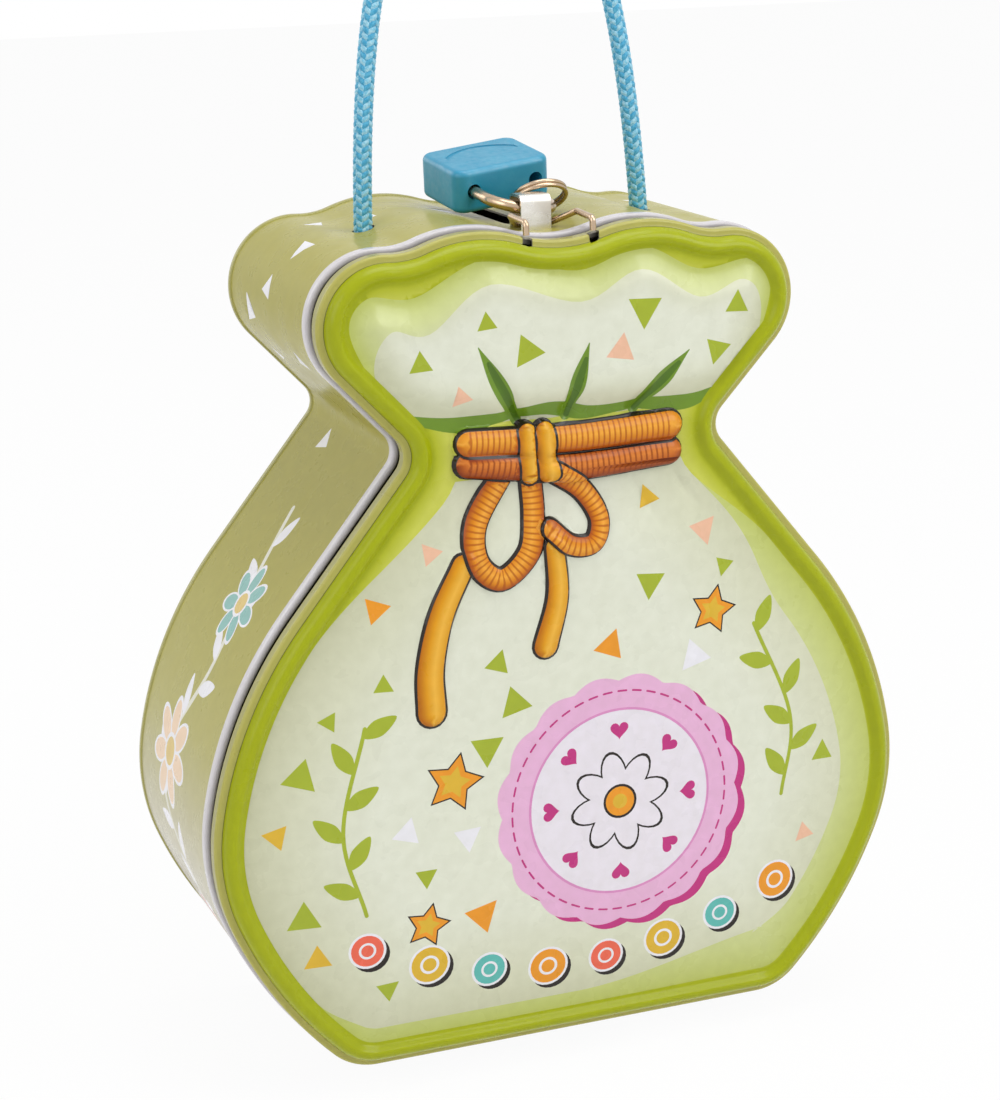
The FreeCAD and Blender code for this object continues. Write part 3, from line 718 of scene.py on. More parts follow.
BELLY_TOP_Z = 115.0
BELLY_FADE_REACH = 24.0
GROUND_MARGIN = 0.1
PALE_SHARE = 0.05
# Shading of the belly: its width, and the places between which it grows
LEFT_NECK_SHADE = 5.0
LEFT_NECK_SPAN = (86.0, 118.0)
RIGHT_NECK_SHADE = 4.0
RIGHT_NECK_SPAN = (96.0, 116.0)
CRESCENT_WIDTH = 7.6
CRESCENT_ACROSS = (0.0, 50.0)
CRESCENT_DOWN = (115.0, 85.0)
BOTTOM_SHADE_WIDTH = 3.4
BOTTOM_SHADE_SPAN = (16.0, 4.0)
# Rope strands: look, line, half width at each end and height above the face
ROPES = (
    ("rope_end", ((-22.0, 99.0), (-26.5, 90.0), (-29.0, 80.0), (-29.0, 71.5)), (2.0, 2.7), 1.0),
    ("rope_end", ((-4.0, 100.5), (-3.5, 91.0), (-6.0, 81.5)), (1.7, 2.3), 1.0),
    ("rope", ((-13.5, 114.5), (-19.0, 106.0), (-19.0, 99.0), (-14.5, 95.5), (-9.0, 100.0),
              (-7.5, 107.0), (-7.5, 113.5)), (2.0, 2.0), 1.2),
    ("rope_low", ((-20.0, 117.5), (0.0, 115.0), (20.5, 116.0)), (2.4, 2.5), 2.2),
    ("rope", ((-20.0, 121.5), (0.0, 120.5), (20.5, 121.0)), (2.3, 2.7), 2.3),
    ("rope", ((-3.0, 114.5), (2.5, 110.5), (5.5, 105.0), (4.0, 100.5), (-0.5, 100.5), (-4.5, 104.0)),
     (1.9, 1.7), 1.3),
    ("rope_end", ((-8.5, 122.5), (-8.0, 114.5)), (1.75, 1.75), 2.6),
    ("rope_end", ((-5.0, 122.5), (-4.5, 114.5)), (1.8, 1.8), 2.6),
)
ROPE_LINES = []
for look, points, widths, rise in ROPES:
    line = smooth_line(points)
    ROPE_LINES.append((look, line, np.linspace(*widths, len(line)), rise))
ROPE_INK = 0.5
ROPE_FOOT = 0.4
WRAP_RISE = 2.0
# Straight creases from the frill down to the rope: upper and lower end
PLEATS = (
    ((-17.8, 139.2), (-9.8, 124.7)),
    ((4.0, 138.2), (0.0, 124.7)),
    ((24.2, 135.2), (13.7, 124.7)),
)
PLEAT_LINES = [np.linspace(*ends, 24) for ends in PLEATS]
PLEAT_TIP_INK = 0.12
PLEAT_SWELL = 1.45
PLEAT_SWELL_LIMIT = (0.62, 0.2)
PLEAT_SWELL_POWER = 1.2
PLEAT_DARK_SHIFT = (0.3, 0.0)
PLEAT_DARK_SHARE = 0.5
PLEAT_DARK_START = 5
PLEAT_CLEARANCE = 1.2
PLEAT_GROWTH = 9.0
PLEAT_DEPTH = 1.1
PLEAT_TIP_REACH = 0.9
PLEAT_FOOT_REACH = 0.6
FOLDS = (
    ((21.5, 111.5), (28.5, 102.5)),
    ((13.0, 111.5), (20.5, 99.0)),
    ((-17.5, 112.5), (-25.5, 99.0)),
)
FOLD_DEPTH = 0.45
FOLD_REACH = 0.9
FOLD_MIDDLE = 3.0
FOLD_LENGTH = 6.0
PATCH_CENTRE = (9.0, 48.0)
PATCH_RADIUS = 24.5
PATCH_SCALLOPS = 16
SCALLOP_DEPTH = 0.05
PATCH_SHADOW = (1.5, -1.2)
STITCH_RADIUS = 22.4
STITCH_COUNT = 46
STITCH_SHARE = 0.55
STITCH_HALF_WIDTH = 0.2
PANEL_RADIUS = 18.5
PANEL_LINE = 0.5
PANEL_SIDES = 72
HEART_RING = 14.6
HEART_COUNT = 8
HEART_SIZE = 1.9
PETAL_MIDDLE = 0.6
PETAL_WIDTH = 0.25
PETAL_STRETCH = 1.75
PETAL_SIDES = 20
DAISY_RADIUS = 9.6
DAISY_PETALS = 8
DAISY_TURN = 12.0
DAISY_INK = 0.14
DAISY_EYE = (("ink", 3.5), ("orange", 3.0), ("gold", 1.5))
COIN_COUNT = 8
COIN_REACH = 43.0
COIN_LOW_Z = 15.5
COIN_CURVE = 0.0055
COIN_RADII = (3.4, 3.9)
COIN_LOOKS = ("coral", "gold", "teal", "orange")
COIN_SHADOW = (0.7, -0.8)
COIN_RIM = 0.3
COIN_INSET = 0.2
COIN_RING = 0.5
COIN_MIDDLE = 0.36
LEAF_HALF_WIDTH = 1.7
SPRIGS = (
    ((-43.0, 33.0), (-47.0, 50.0), (-42.0, 70.0)),
    ((44.0, 44.0), (46.0, 60.0), (38.0, 80.0)),
)
SPRIG_LEAVES = {"half_width": 0.4, "leaf_length": 7.5, "lean": 48.0, "leaf_step": 4}
STARS = ((-25.0, 57.0, 5.6), (29.0, 84.0, 4.6), (-31.0, 29.0, 4.2))
STAR_INK = 0.6
STAR_WAIST = 0.52
STAR_MIDDLE = 0.6
STAR_POINTS = 5
STAR_TURN = 75.0
CONFETTI_TRIES = 80
CONFETTI_SPACING = 8.5
CONFETTI_MARGIN = 1.2
BELLY_CONFETTI = {
    "seed": 3,
    "count": 24,
    "sizes": (2.2, 4.2),
    "looks": ("green", "green", "gold", "green", "orange", "white", "green", "salmon"),
}
FRILL_CONFETTI = {
    "seed": 8,
    "count": 8,
    "sizes": (2.2, 4.0),
    "looks": ("green", "green", "salmon", "green"),
}


def belly_ground(share):
    """Belly below the rope, drawn in at the neck, along a crescent on the right and at the bottom."""
    x, z = FACE_RING.T
    left = LEFT_NECK_SHADE * rising(z, *LEFT_NECK_SPAN)
    right = RIGHT_NECK_SHADE * rising(z, *RIGHT_NECK_SPAN)
    crescent = CRESCENT_WIDTH * rising(x, *CRESCENT_ACROSS) * rising(z, *CRESCENT_DOWN)
    strip = BOTTOM_SHADE_WIDTH * rising(z, *BOTTOM_SHADE_SPAN)
    inset = GROUND_MARGIN + np.where(x < 0, left, right) + share * (crescent + strip)
    edge = FACE_RING - OUTWARD * inset[:, None]
    return edge[(edge[:, 1] < BELLY_TOP_Z) & (z < NECK_Z)]


def ground_shapes():
    """Coloured ground of the bag: pale shade, cream face, frill and its pleats."""
    shapes = [("pale_green", belly_ground(PALE_SHARE)), ("cream", belly_ground(1.0))]
    shapes += [("pale_green", FRILL_LOOP), ("cream", FRILL_CREAM_LOOP)]
    shadow = smooth_line(FRILL_SHADOW)
    waves = np.sin(np.linspace(0, FRILL_SHADOW_TURN, len(shadow))) ** 2
    shapes.append(("shadow_green", ribbon(shadow, FRILL_SHADOW_WIDTH + FRILL_SHADOW_SWELL * waves)))
    for line in PLEAT_LINES:
        share = np.linspace(0.0, 1.0, len(line))
        limit = PLEAT_SWELL_LIMIT[0] + PLEAT_SWELL_LIMIT[1] * share
        swell = np.sin(math.pi * np.minimum(share, limit) ** PLEAT_SWELL_POWER)
        width = PLEAT_TIP_INK + PLEAT_SWELL * swell
        shapes.append(("shadow_green", ribbon(line, width)))
        dark = slice(PLEAT_DARK_START, None)
        dark_line = line[dark] + PLEAT_DARK_SHIFT
        shapes.append(("deep_green", ribbon(dark_line, width[dark] * PLEAT_DARK_SHARE)))
    return shapes


def scatter(region, blocked, seed, count, sizes, looks):
    """Triangles strewn over a region, clear of its edge, of the blocked outlines and of one another."""
    draw = np.random.default_rng(seed)
    low, high = region.min(axis=0), region.max(axis=0)
    edges = np.vstack([region] + blocked)
    spots = []
    shapes = []
    for _ in range(count * CONFETTI_TRIES):
        spot = draw.uniform(low, high)
        size = draw.uniform(*sizes)
        angle = draw.uniform(0.0, 360.0)
        clear = np.hypot(*(edges - spot).T).min() > size + CONFETTI_MARGIN
        clear = clear and inside(spot[None], region)[0]
        clear = clear and not any(inside(spot[None], loop)[0] for loop in blocked)
        clear = clear and all(np.hypot(*(spot - other)) > CONFETTI_SPACING for other in spots)
        if clear and len(spots) < count:
            shapes.append((looks[len(spots) % len(looks)], turned(disc((0, 0), size, 3), angle, spot)))
            spots.append(spot)
    return shapes


def rope_shapes():
    shapes = []
    for look, line, widths, _ in ROPE_LINES:
        shapes.append(("ink", ribbon(line, widths + ROPE_INK)))
        shapes.append((look, ribbon(line, widths)))
    return shapes


def grown(outline, share):
    """An outline made larger about its own middle, or smaller by a negative share."""
    return outline + (outline - outline.mean(axis=0)) * share


def leaf(length, half_width, angle, place):
    points = ((0.0, 0.0), (length * 0.45, half_width), (length, 0.0), (length * 0.45, -half_width))
    return turned(smooth_line(points, 6, True), angle, place)


def petals(centre, radius, count, turn=0.0):
    petal = disc((radius * PETAL_MIDDLE, 0), radius * PETAL_WIDTH, PETAL_SIDES, PETAL_STRETCH)
    return [turned(petal, number * 360 / count + turn, centre) for number in range(count)]


def heart(centre, size, angle):
    turns = np.radians(np.arange(0, 360, 12))
    x = np.sin(turns) ** 3
    z = (13 * np.cos(turns) - 5 * np.cos(2 * turns) - 2 * np.cos(3 * turns) - np.cos(4 * turns)) / 16
    return turned(np.column_stack((x, z)) * size, angle, centre)


def patch_shapes():
    """Round sewn patch with a scalloped edge, a pale middle, a ring of hearts and a daisy."""
    centre = np.array(PATCH_CENTRE)
    angles = np.radians(np.arange(0, 360, 2))
    scallop = PATCH_RADIUS * (1 + SCALLOP_DEPTH * np.abs(np.sin(PATCH_SCALLOPS * angles / 2)))
    edge = np.column_stack((np.cos(angles), np.sin(angles))) * scallop[:, None] + centre
    shapes = [("magenta", edge + PATCH_SHADOW), ("pink", edge)]
    for number in range(STITCH_COUNT):
        turns = np.radians(360 / STITCH_COUNT * (number + np.linspace(0.0, STITCH_SHARE, 4)))
        dash = centre + STITCH_RADIUS * np.column_stack((np.cos(turns), np.sin(turns)))
        shapes.append(("magenta", ribbon(dash, STITCH_HALF_WIDTH)))
    shapes.append(("rose", disc(centre, PANEL_RADIUS + PANEL_LINE, PANEL_SIDES)))
    shapes.append(("panel", disc(centre, PANEL_RADIUS, PANEL_SIDES)))
    for number in range(HEART_COUNT):
        angle = number * 2 * math.pi / HEART_COUNT
        place = centre + HEART_RING * np.array((math.sin(angle), math.cos(angle)))
        shapes.append(("magenta", heart(place, HEART_SIZE, -math.degrees(angle))))
    loops = petals(centre, DAISY_RADIUS, DAISY_PETALS, DAISY_TURN)
    shapes += [("ink", grown(loop, DAISY_INK)) for loop in loops]
    shapes += [("panel", loop) for loop in loops]
    shapes += [(look, disc(centre, radius)) for look, radius in DAISY_EYE]
    return shapes


def coin_shapes():
    """Coins of four colours lying in a row along the bottom of the belly."""
    shapes = []
    for number, x in enumerate(np.linspace(-COIN_REACH, COIN_REACH, COIN_COUNT)):
        spot = np.array((x, COIN_LOW_Z + COIN_CURVE * x * x))
        size = COIN_RADII[number % len(COIN_RADII)]
        look = COIN_LOOKS[number % len(COIN_LOOKS)]
        shapes.append(("ink", disc(spot + COIN_SHADOW, size + COIN_RIM)))
        shapes.append(("white", disc(spot, size + COIN_RIM)))
        shapes.append((look, disc(spot, size - COIN_INSET)))
        shapes.append(("white", disc(spot, size * COIN_RING)))
        shapes.append((look, disc(spot, size * COIN_MIDDLE)))
    return shapes


def leafy_stem(points, stem_look, leaf_look, half_width, leaf_length, lean, leaf_step):
    """A stem, and its leaves on either side in turn."""
    stem = smooth_line(points, 12)
    shapes = [(stem_look, ribbon(stem, half_width))]
    for number in range(3, len(stem) - 1, leaf_step):
        way = stem[number + 1] - stem[number]
        angle = math.degrees(math.atan2(way[1], way[0])) + lean
        shapes.append((leaf_look, leaf(leaf_length, LEAF_HALF_WIDTH, angle, stem[number])))
        lean = -lean
    return shapes


def star_shapes():
    shapes = []
    for x, z, size in STARS:
        for look, radius in (("ink", size + STAR_INK), ("orange", size), ("gold", size * STAR_MIDDLE)):
            shapes.append((look, star((x, z), radius, radius * STAR_WAIST, STAR_POINTS, STAR_TURN)))
    return shapes


def lid_shapes():
    """Everything printed on the lid, from the ground up."""
    ropes = rope_shapes()
    sprigs = [shape for points in SPRIGS for shape in leafy_stem(points, "green", "green", **SPRIG_LEAVES)]
    motifs = sprigs + patch_shapes() + coin_shapes() + star_shapes()
    blocked = [loop for _, loop in motifs + ropes]
    creases = [ribbon(line, PLEAT_CLEARANCE) for line in PLEAT_LINES]
    belly = scatter(belly_ground(1.0), blocked, **BELLY_CONFETTI)
    frill = scatter(FRILL_CREAM_LOOP, creases, **FRILL_CONFETTI)
    return ground_shapes() + belly + frill + ropes + motifs


# Lid

def lid_relief(points):
    """Height of the stamped face in front of the rim."""
    edge = distance(points, FACE_RING, True)[0]
    below = 1 - rising(points[:, 1], *BELLY_FADE)
    rise = 1 - (1 - np.clip(edge / BELLY_REACH, 0, 1)) ** 2
    height = FACE_PROUD + BELLY_RISE * rise * below
    pad = distance(points, FRILL_LOOP, True)[0] * np.where(inside(points, FRILL_LOOP), 1, -1)
    height += FRILL_RISE * rising(pad, 0, FRILL_REACH)
    for line in PLEAT_LINES:
        gap, _, travelled = distance(points, line)
        depth = rising(travelled, 0, PLEAT_GROWTH)
        reach = PLEAT_TIP_REACH + PLEAT_FOOT_REACH * depth
        height -= PLEAT_DEPTH * depth * np.exp(-(gap / reach) ** 2)
    for start, end in FOLDS:
        gap, _, travelled = distance(points, np.linspace(start, end, 12))
        along = np.exp(-((travelled - FOLD_MIDDLE) / FOLD_LENGTH) ** 2)
        height -= FOLD_DEPTH * np.exp(-(gap / FOLD_REACH) ** 2) * along
    for _, line, widths, top in ROPE_LINES:
        gap = distance(points, line)[0]
        cover = np.clip(1 - (gap / (widths.mean() + ROPE_FOOT)) ** 2, 0, 1) ** 0.5
        base = FACE_PROUD if top > WRAP_RISE else height
        height = np.where(cover > 0, np.maximum(height, base + top * cover), height)
    return height


def lid_profile():
    """Border of the lid from the end of its plug to the edge of its face, as rows of inset and height."""
    rows = [(LID_INSET, height) for height in (-LID_PLUG, -ROW_GAP, COLLAR_GAP - SMALL_EDGE)]
    rows += [(LID_INSET - SMALL_EDGE, COLLAR_GAP), (COLLAR_INSET + SMALL_EDGE, COLLAR_GAP)]
    rows.append((COLLAR_INSET, COLLAR_GAP + SMALL_EDGE))
    collar_top = LEDGE_PROUD - LEDGE_ROUND
    for height in np.linspace(COLLAR_GAP + ROW_GAP, collar_top - SMALL_EDGE, COLLAR_ROWS):
        rows.append((COLLAR_INSET, height))
    for angle in np.radians((0, 22, 45, 67, 90)):
        inset = COLLAR_INSET + LEDGE_ROUND * (1 - math.cos(angle))
        rows.append((inset, LEDGE_PROUD - LEDGE_ROUND * (1 - math.sin(angle))))
    rows.append((BEAD_INSET - GROOVE_FOOT[0], LEDGE_PROUD + GROOVE_FOOT[1]))
    for angle in np.radians(np.arange(6, 91, 12)):
        inset = BEAD_INSET + (CREST_INSET - BEAD_INSET) * (1 - math.cos(angle))
        rows.append((inset, LEDGE_PROUD + (LID_PROUD - LEDGE_PROUD) * math.sin(angle)))
    for share in (np.arange(7) + 1) / 7:
        inset = CREST_INSET + (FACE_INSET - CREST_INSET) * share
        fall = (1 - math.cos(math.pi * share)) / 2
        rows.append((inset, LID_PROUD - (LID_PROUD - FACE_PROUD) * fall))
    return rows


def border_look(place):
    """Painted shade in near-black on the plug wall behind the collar and in a darker olive on the collar's
    side wall, the olive collar, painted shade in dark olive at the groove beside the bead, and the green
    bead.
    """
    height = RIM_Y - place[1]
    for look, top in (
        ("plug_wall_painted_shade", COLLAR_GAP),
        ("collar_wall_painted_shade", LEDGE_PROUD - LEDGE_ROUND),
        ("collar", LEDGE_PROUD + GROOVE_SHADE_START),
        ("groove_painted_shade", LEDGE_PROUD + GROOVE_SHADE_END),
    ):
        if height < top:
            return LOOK_NAMES.index(look)
    return LOOK_NAMES.index("border")


def pierced(points, faces):
    """Border without the faces over the clasp's two holes, its corners drawn to the holes' rims."""
    points = points.copy()
    for side in (-1, 1):
        axis = np.array((side * CLASP_HOLE_X, RIM_Y - CLASP_HOLE_PROUD))
        on_top = points[:, 2] > NECK_Z
        offset = points[:, :2] - axis
        gap = np.hypot(*offset.T)
        near = on_top & (np.abs(gap - CLASP_HOLE_RADIUS) < CLASP_HOLE_SNAP)
        points[near, :2] = axis + offset[near] / gap[near, None] * CLASP_HOLE_RADIUS
        middles = points[np.array(faces)].mean(axis=1)
        open_here = np.hypot(*(middles[:, :2] - axis).T) < CLASP_HOLE_RADIUS
        open_here &= middles[:, 2] > NECK_Z
        faces = [face for face, opened in zip(faces, open_here) if not opened]
    return points, faces


def lid_border():
    """Points, normals and faces of the border, with gaps for the hinge and for the clasp's tips."""
    profile = lid_profile()
    points, ways = swept_rows(profile)
    points, faces = pierced(points, row_faces(len(profile), len(OUTLINE)))
    kept = []
    for face in faces:
        middle = points[list(face)].mean(axis=0)
        in_notch = HINGE_NOTCH[0] < abs(middle[0]) < HINGE_NOTCH[1] and middle[2] < HINGE_NOTCH_TOP
        if not (in_notch and middle[1] > RIM_Y - HINGE_NOTCH_PROUD):
            kept.append(face)
    return points, ways, kept


def lid_face():
    """Flat corners and faces of the printed face, the look of each face and the places of the ring."""
    shapes = lid_shapes()
    low, high = FACE_RING.min(axis=0), FACE_RING.max(axis=0)
    columns = np.arange(low[0], high[0], FACE_STEP)
    across, up = np.meshgrid(columns, np.arange(low[1], high[1], FACE_STEP * FACE_ROW_SHARE))
    across[1::2] += FACE_STEP / 2
    spots = np.column_stack((across.ravel(), up.ravel()))
    spots = spots[inside(spots, FACE_RING)]
    spots = spots[distance(spots, FACE_RING, True)[0] > FACE_STEP / 2]
    corners, faces, ring_places = divide(FACE_RING, [loop for _, loop in shapes], spots)
    return corners, faces, face_looks(corners, faces, shapes, LOOK_NAMES), ring_places


def face_looks(corners, faces, shapes, names):
    """Number of the look of each face, from the last outline that its middle lies in."""
    middles = corners[faces].mean(axis=1)
    looks = np.zeros(len(faces), int)
    for look, loop in shapes:
        looks[inside(middles, loop)] = names.index(look)
    return looks


def raised(corners):
    """Points and normals of the face, lifted to the height of its stamping."""
    slopes = []
    for step in np.eye(2) * SLOPE_STEP:
        rise = lid_relief(corners + step) - lid_relief(corners - step)
        slopes.append(rise / (2 * SLOPE_STEP))
    ways = np.column_stack((-slopes[0], -np.ones(len(corners)), -slopes[1]))
    ways /= np.linalg.norm(ways, axis=1)[:, None]
    return np.insert(corners, 1, RIM_Y - lid_relief(corners), axis=1), ways


def build_lid():
    points, ways, border_faces = lid_border()
    corners, faces, looks, ring_places = lid_face()
    face_points, face_ways = raised(corners)
    numbers = np.arange(len(corners)) + len(points)
    numbers[ring_places] = len(points) - len(OUTLINE) + np.arange(len(OUTLINE))
    border_looks = [border_look(points[list(face)].mean(axis=0)) for face in border_faces]
    piece = tin_sheet(
        "lid_print",
        np.vstack((points, face_points)),
        np.vstack((ways, face_ways)),
        border_faces + [tuple(face) for face in numbers[faces]],
        border_looks + list(looks),
        list(LID_LOOKS.values()),
        inner_tin,
        lid_values(corners, len(points)),
    )
    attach(piece, "lid")
    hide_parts("front_lid")


def lid_values(corners, border_count):
    """Numbers for the print: the distance from the edge of the ground, and the place on a rope."""
    edge = distance(corners, FACE_RING, True)[0]
    pad = distance(corners, FRILL_LOOP, True)[0]
    fade = np.where(inside(corners, FRILL_LOOP), pad / FRILL_FADE, edge / BELLY_FADE_REACH)
    across = np.zeros(len(corners))
    along = np.zeros(len(corners))
    for _, line, widths, _ in ROPE_LINES:
        gap, side, travelled = distance(corners, line)
        on_rope = gap < widths.mean() + ROPE_INK
        across = np.where(on_rope, side * gap / widths.mean(), across)
        along = np.where(on_rope, travelled, along)
    values = {"fade": np.clip(fade, 0, 1), "across": np.clip(across, -1, 1), "along": along}
    before = np.zeros(border_count)
    return {label: np.concatenate((before, value)) for label, value in values.items()}


# Band

# Climbing vine on each side of the band: heights on the side and depths behind the rim
VINE = ((12.0, 32.0), (32.0, 20.0), (54.0, 33.0), (78.0, 20.0), (104.0, 28.0))
VINE_LEAVES = {"half_width": 0.7, "leaf_length": 8.5, "lean": -42.0, "leaf_step": 3}
# Daisies on the vine: height, depth, radius and look
VINE_DAISIES = ((24.0, 22.0, 7.0, "coral"), (57.0, 30.0, 11.0, "peach"), (88.0, 22.0, 8.5, "teal"))
VINE_DAISY_PETALS = 7
VINE_PETAL_RIM = 0.2
VINE_DAISY_EYE = (("white", 0.34), ("gold", 0.26))
BAND_CONFETTI = {"seed": 4, "count": 9, "sizes": (2.2, 3.6), "looks": ("white",)}
BAND_CONFETTI_Z = 110.0
BAND_CONFETTI_INSET = 6.0
BAND_CONFETTI_DEPTHS = (7.0, BODY_DEPTH - 5.0)


def band_shapes(length, lengths, holes):
    """Prints on both sides of the band, as outlines of length round the band and depth behind the rim."""
    flank = (OUTLINE[:, 0] < 0) & (OUTLINE[:, 1] < NECK_Z)

    def level(z):
        return lengths[np.argmin(np.where(flank, np.abs(OUTLINE[:, 1] - z), np.inf))]

    vine = [(level(z), depth) for z, depth in VINE]
    left = leafy_stem(vine, "stem", "white", **VINE_LEAVES)
    for z, depth, radius, look in VINE_DAISIES:
        flower = np.array((level(z), depth))
        for loop in petals(flower, radius, VINE_DAISY_PETALS):
            left += [("white", loop), (look, grown(loop, -VINE_PETAL_RIM))]
        left += [(eye_look, disc(flower, radius * share)) for eye_look, share in VINE_DAISY_EYE]
    start, end = level(BAND_CONFETTI_Z), length / 2 - BAND_CONFETTI_INSET
    near, far = BAND_CONFETTI_DEPTHS
    top = straight_border(np.array(((start, near), (end, near), (end, far), (start, far))))
    left += scatter(top, holes, **BAND_CONFETTI)
    right = [(look, np.column_stack((length - loop[:, 0], loop[:, 1]))) for look, loop in left]
    return left + right


def straight_border(corners):
    """A straight-sided outline with points all along its sides."""
    ends = np.roll(corners, -1, axis=0)
    return np.vstack([np.linspace(a, b, BORDER_POINTS, endpoint=False) for a, b in zip(corners, ends)])


def band_holes(length, lengths):
    """Coin slot in the top valley and a round hole for each end of the cord."""
    middle = length / 2
    slot_ends = ((middle, SLOT_START + SLOT_HALF_WIDTH), (middle, SLOT_END - SLOT_HALF_WIDTH))
    holes = [ribbon(np.linspace(*slot_ends, 12), SLOT_HALF_WIDTH)]
    upper = OUTLINE[:, 1] > NECK_Z + SHOULDER_RISE
    for side in (-1, 1):
        gap = np.where(upper, np.abs(OUTLINE[:, 0] - side * CORD_HOLE_X), np.inf)
        holes.append(disc((lengths[np.argmin(gap)], CORD_HOLE_DEPTH), CORD_HOLE_RADIUS, HOLE_SIDES))
    return holes


def build_band():
    steps = np.linalg.norm(np.roll(OUTLINE, -1, axis=0) - OUTLINE, axis=1)
    lengths = np.concatenate(((0.0,), np.cumsum(steps)))
    length = lengths[-1]
    holes = band_holes(length, lengths[:-1])
    shapes = band_shapes(length, lengths[:-1], holes)
    front, rear = HEM_DEPTH - HEM_OVERLAP, BODY_DEPTH - HEM_OVERLAP
    border = np.vstack((
        np.column_stack((lengths, np.full(len(lengths), front))),
        np.column_stack((lengths[::-1], np.full(len(lengths), rear))),
    ))
    rounds = np.arange(BAND_MARGIN[0], length - BAND_END_MARGIN, BAND_STEP[0])
    depths = np.arange(front + BAND_MARGIN[1], rear - BAND_END_MARGIN, BAND_STEP[1])
    across, deep = np.meshgrid(rounds, depths)
    spots = np.column_stack((across.ravel(), deep.ravel()))
    corners, faces, _ = divide(border, [loop for _, loop in shapes] + holes, spots)
    for hole in holes:
        faces = faces[~inside(corners[faces].mean(axis=1), hole)]
    looks = face_looks(corners, faces, shapes, BAND_LOOK_NAMES)

    def carried(rows):
        closed = np.vstack((rows, rows[:1]))
        return [np.interp(corners[:, 0], lengths, closed[:, axis]) for axis in (0, 1)]

    x, z = carried(OUTLINE)
    points = np.column_stack((x, RIM_Y + corners[:, 1], z))
    x, z = carried(OUTWARD)
    normals = np.column_stack((x, np.zeros(len(corners)), z))
    normals /= np.linalg.norm(normals, axis=1)[:, None]
    piece = tin_sheet("band_print", points, normals, faces, looks, list(BAND_LOOKS.values()), inner_tin)
    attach(piece, "tin")
    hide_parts("side_band")


def swept_ring(name, rows, material, body):
    """Closed profile of inset and height carried round the bag."""
    columns = len(OUTLINE)
    points, _ = swept_rows(rows)
    faces = row_faces(len(rows), columns)
    last = (len(rows) - 1) * columns
    faces += [(last + k, last + (k + 1) % columns, (k + 1) % columns, k) for k in range(columns)]
    piece = mesh_piece(name, points * MM, [face[::-1] for face in faces], [0] * len(faces), [material])
    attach(piece, body)


def rounded_rows(inset_range, height_range, radius):
    """Rounded rectangle of inset and height, as a closed profile."""
    rows = []
    for inset_end, height_end, start in ((0, 1, 90), (1, 1, 0), (1, 0, -90), (0, 0, -180)):
        inset = inset_range[inset_end] + radius * (1 - 2 * inset_end)
        height = height_range[height_end] + radius * (1 - 2 * height_end)
        for angle in np.radians((start + 90, start + 60, start + 30, start)):
            rows.append((inset + radius * math.cos(angle), height + radius * math.sin(angle)))
    return rows


def build_hem_and_seam():
    hem = rounded_rows((-HEM_PROUD, HEM_INSIDE), (-HEM_DEPTH, EDGE_LIFT), HEM_ROUND)
    swept_ring("rim_hem", hem, white_hem, "tin")
    seam_heights = (-BODY_DEPTH - EDGE_LIFT, -BODY_DEPTH + SEAM_DEPTH)
    seam = rounded_rows((-HEM_PROUD, SEAM_INSIDE), seam_heights, SEAM_ROUND)
    swept_ring("rear_seam", seam, seam_print, "tin")


# Cord

CORD_DIAMETER = 3.4
CORD_ROUTE = (
    (-0.0286, 0.002, 0.15184),
    (-0.0286, 0.002, 0.211),
    (-0.0016, 0.002, 0.233),
    (0.025, 0.002, 0.211),
    (0.0286, 0.002, 0.15184),
)
BRAID_STRANDS = 8
BRAID_PITCH = 0.0092
BRAID_STEPS = 22
STRAND_SIDES = 6
CORE_SIDES = 10
# Shares of the cord's radius
STRAND_THICKNESS = 0.2
STRAND_WIDTH = 0.36
CORE_RADIUS = 0.72
# Shares of a strand's thickness
STRAND_SEAT = 0.95
STRAND_WEAVE = 0.55
# Knots
KNOT_SIZE = 0.00105
KNOT_STRANDS = 6
KNOT_RADIUS = 0.42 * CORD_DIAMETER


def route_points():
    """Points of the cord's line, read from a NURBS curve on its route."""
    curve = bpy.data.curves.new("cord_route", "CURVE")
    curve.dimensions = "3D"
    curve.resolution_u = 40
    spline = curve.splines.new("NURBS")
    spline.points.add(len(CORD_ROUTE) - 1)
    for point, place in zip(spline.points, CORD_ROUTE):
        point.co = (*place, 1.0)
    spline.order_u = 3
    spline.use_endpoint_u = True
    holder = bpy.data.objects.new("cord_route", curve)
    mesh = bpy.data.meshes.new_from_object(holder)
    points = np.array([tuple(vertex.co) for vertex in mesh.vertices])
    bpy.data.objects.remove(holder)
    bpy.data.meshes.remove(mesh)
    return points


def even_points(points, step):
    """Points at even steps along a line, and how far along each lies."""
    lengths = np.concatenate(((0,), np.cumsum(np.linalg.norm(np.diff(points, axis=0), axis=1))))
    marks = np.linspace(0, lengths[-1], round(lengths[-1] / step) + 1)
    return np.column_stack([np.interp(marks, lengths, points[:, axis]) for axis in range(3)]), marks


def tube_rows(path, first, second, sides):
    """Corner rows of an oval tube round a path, from its two half axes at each point."""
    angles = np.arange(sides)[None, :, None] * 2 * math.pi / sides
    return path[:, None] + np.cos(angles) * first[:, None] + np.sin(angles) * second[:, None]


def tube_faces(rows, start):
    """Faces of a closed tube whose corners are numbered from the start."""
    count, sides, _ = rows.shape
    faces = row_faces(count, sides)
    faces.append(tuple(reversed(range(sides))))
    faces.append(tuple((count - 1) * sides + k for k in range(sides)))
    return [tuple(start + k for k in face) for face in faces]


def carried_normals(tangents):
    """Normals carried along a path without a twist."""
    normal = np.cross(tangents[0], (0.0, 1.0, 0.0))
    normals = []
    for tangent in tangents:
        normal = normal - tangent * np.dot(normal, tangent)
        normal /= np.linalg.norm(normal)
        normals.append(normal)
    return np.array(normals)


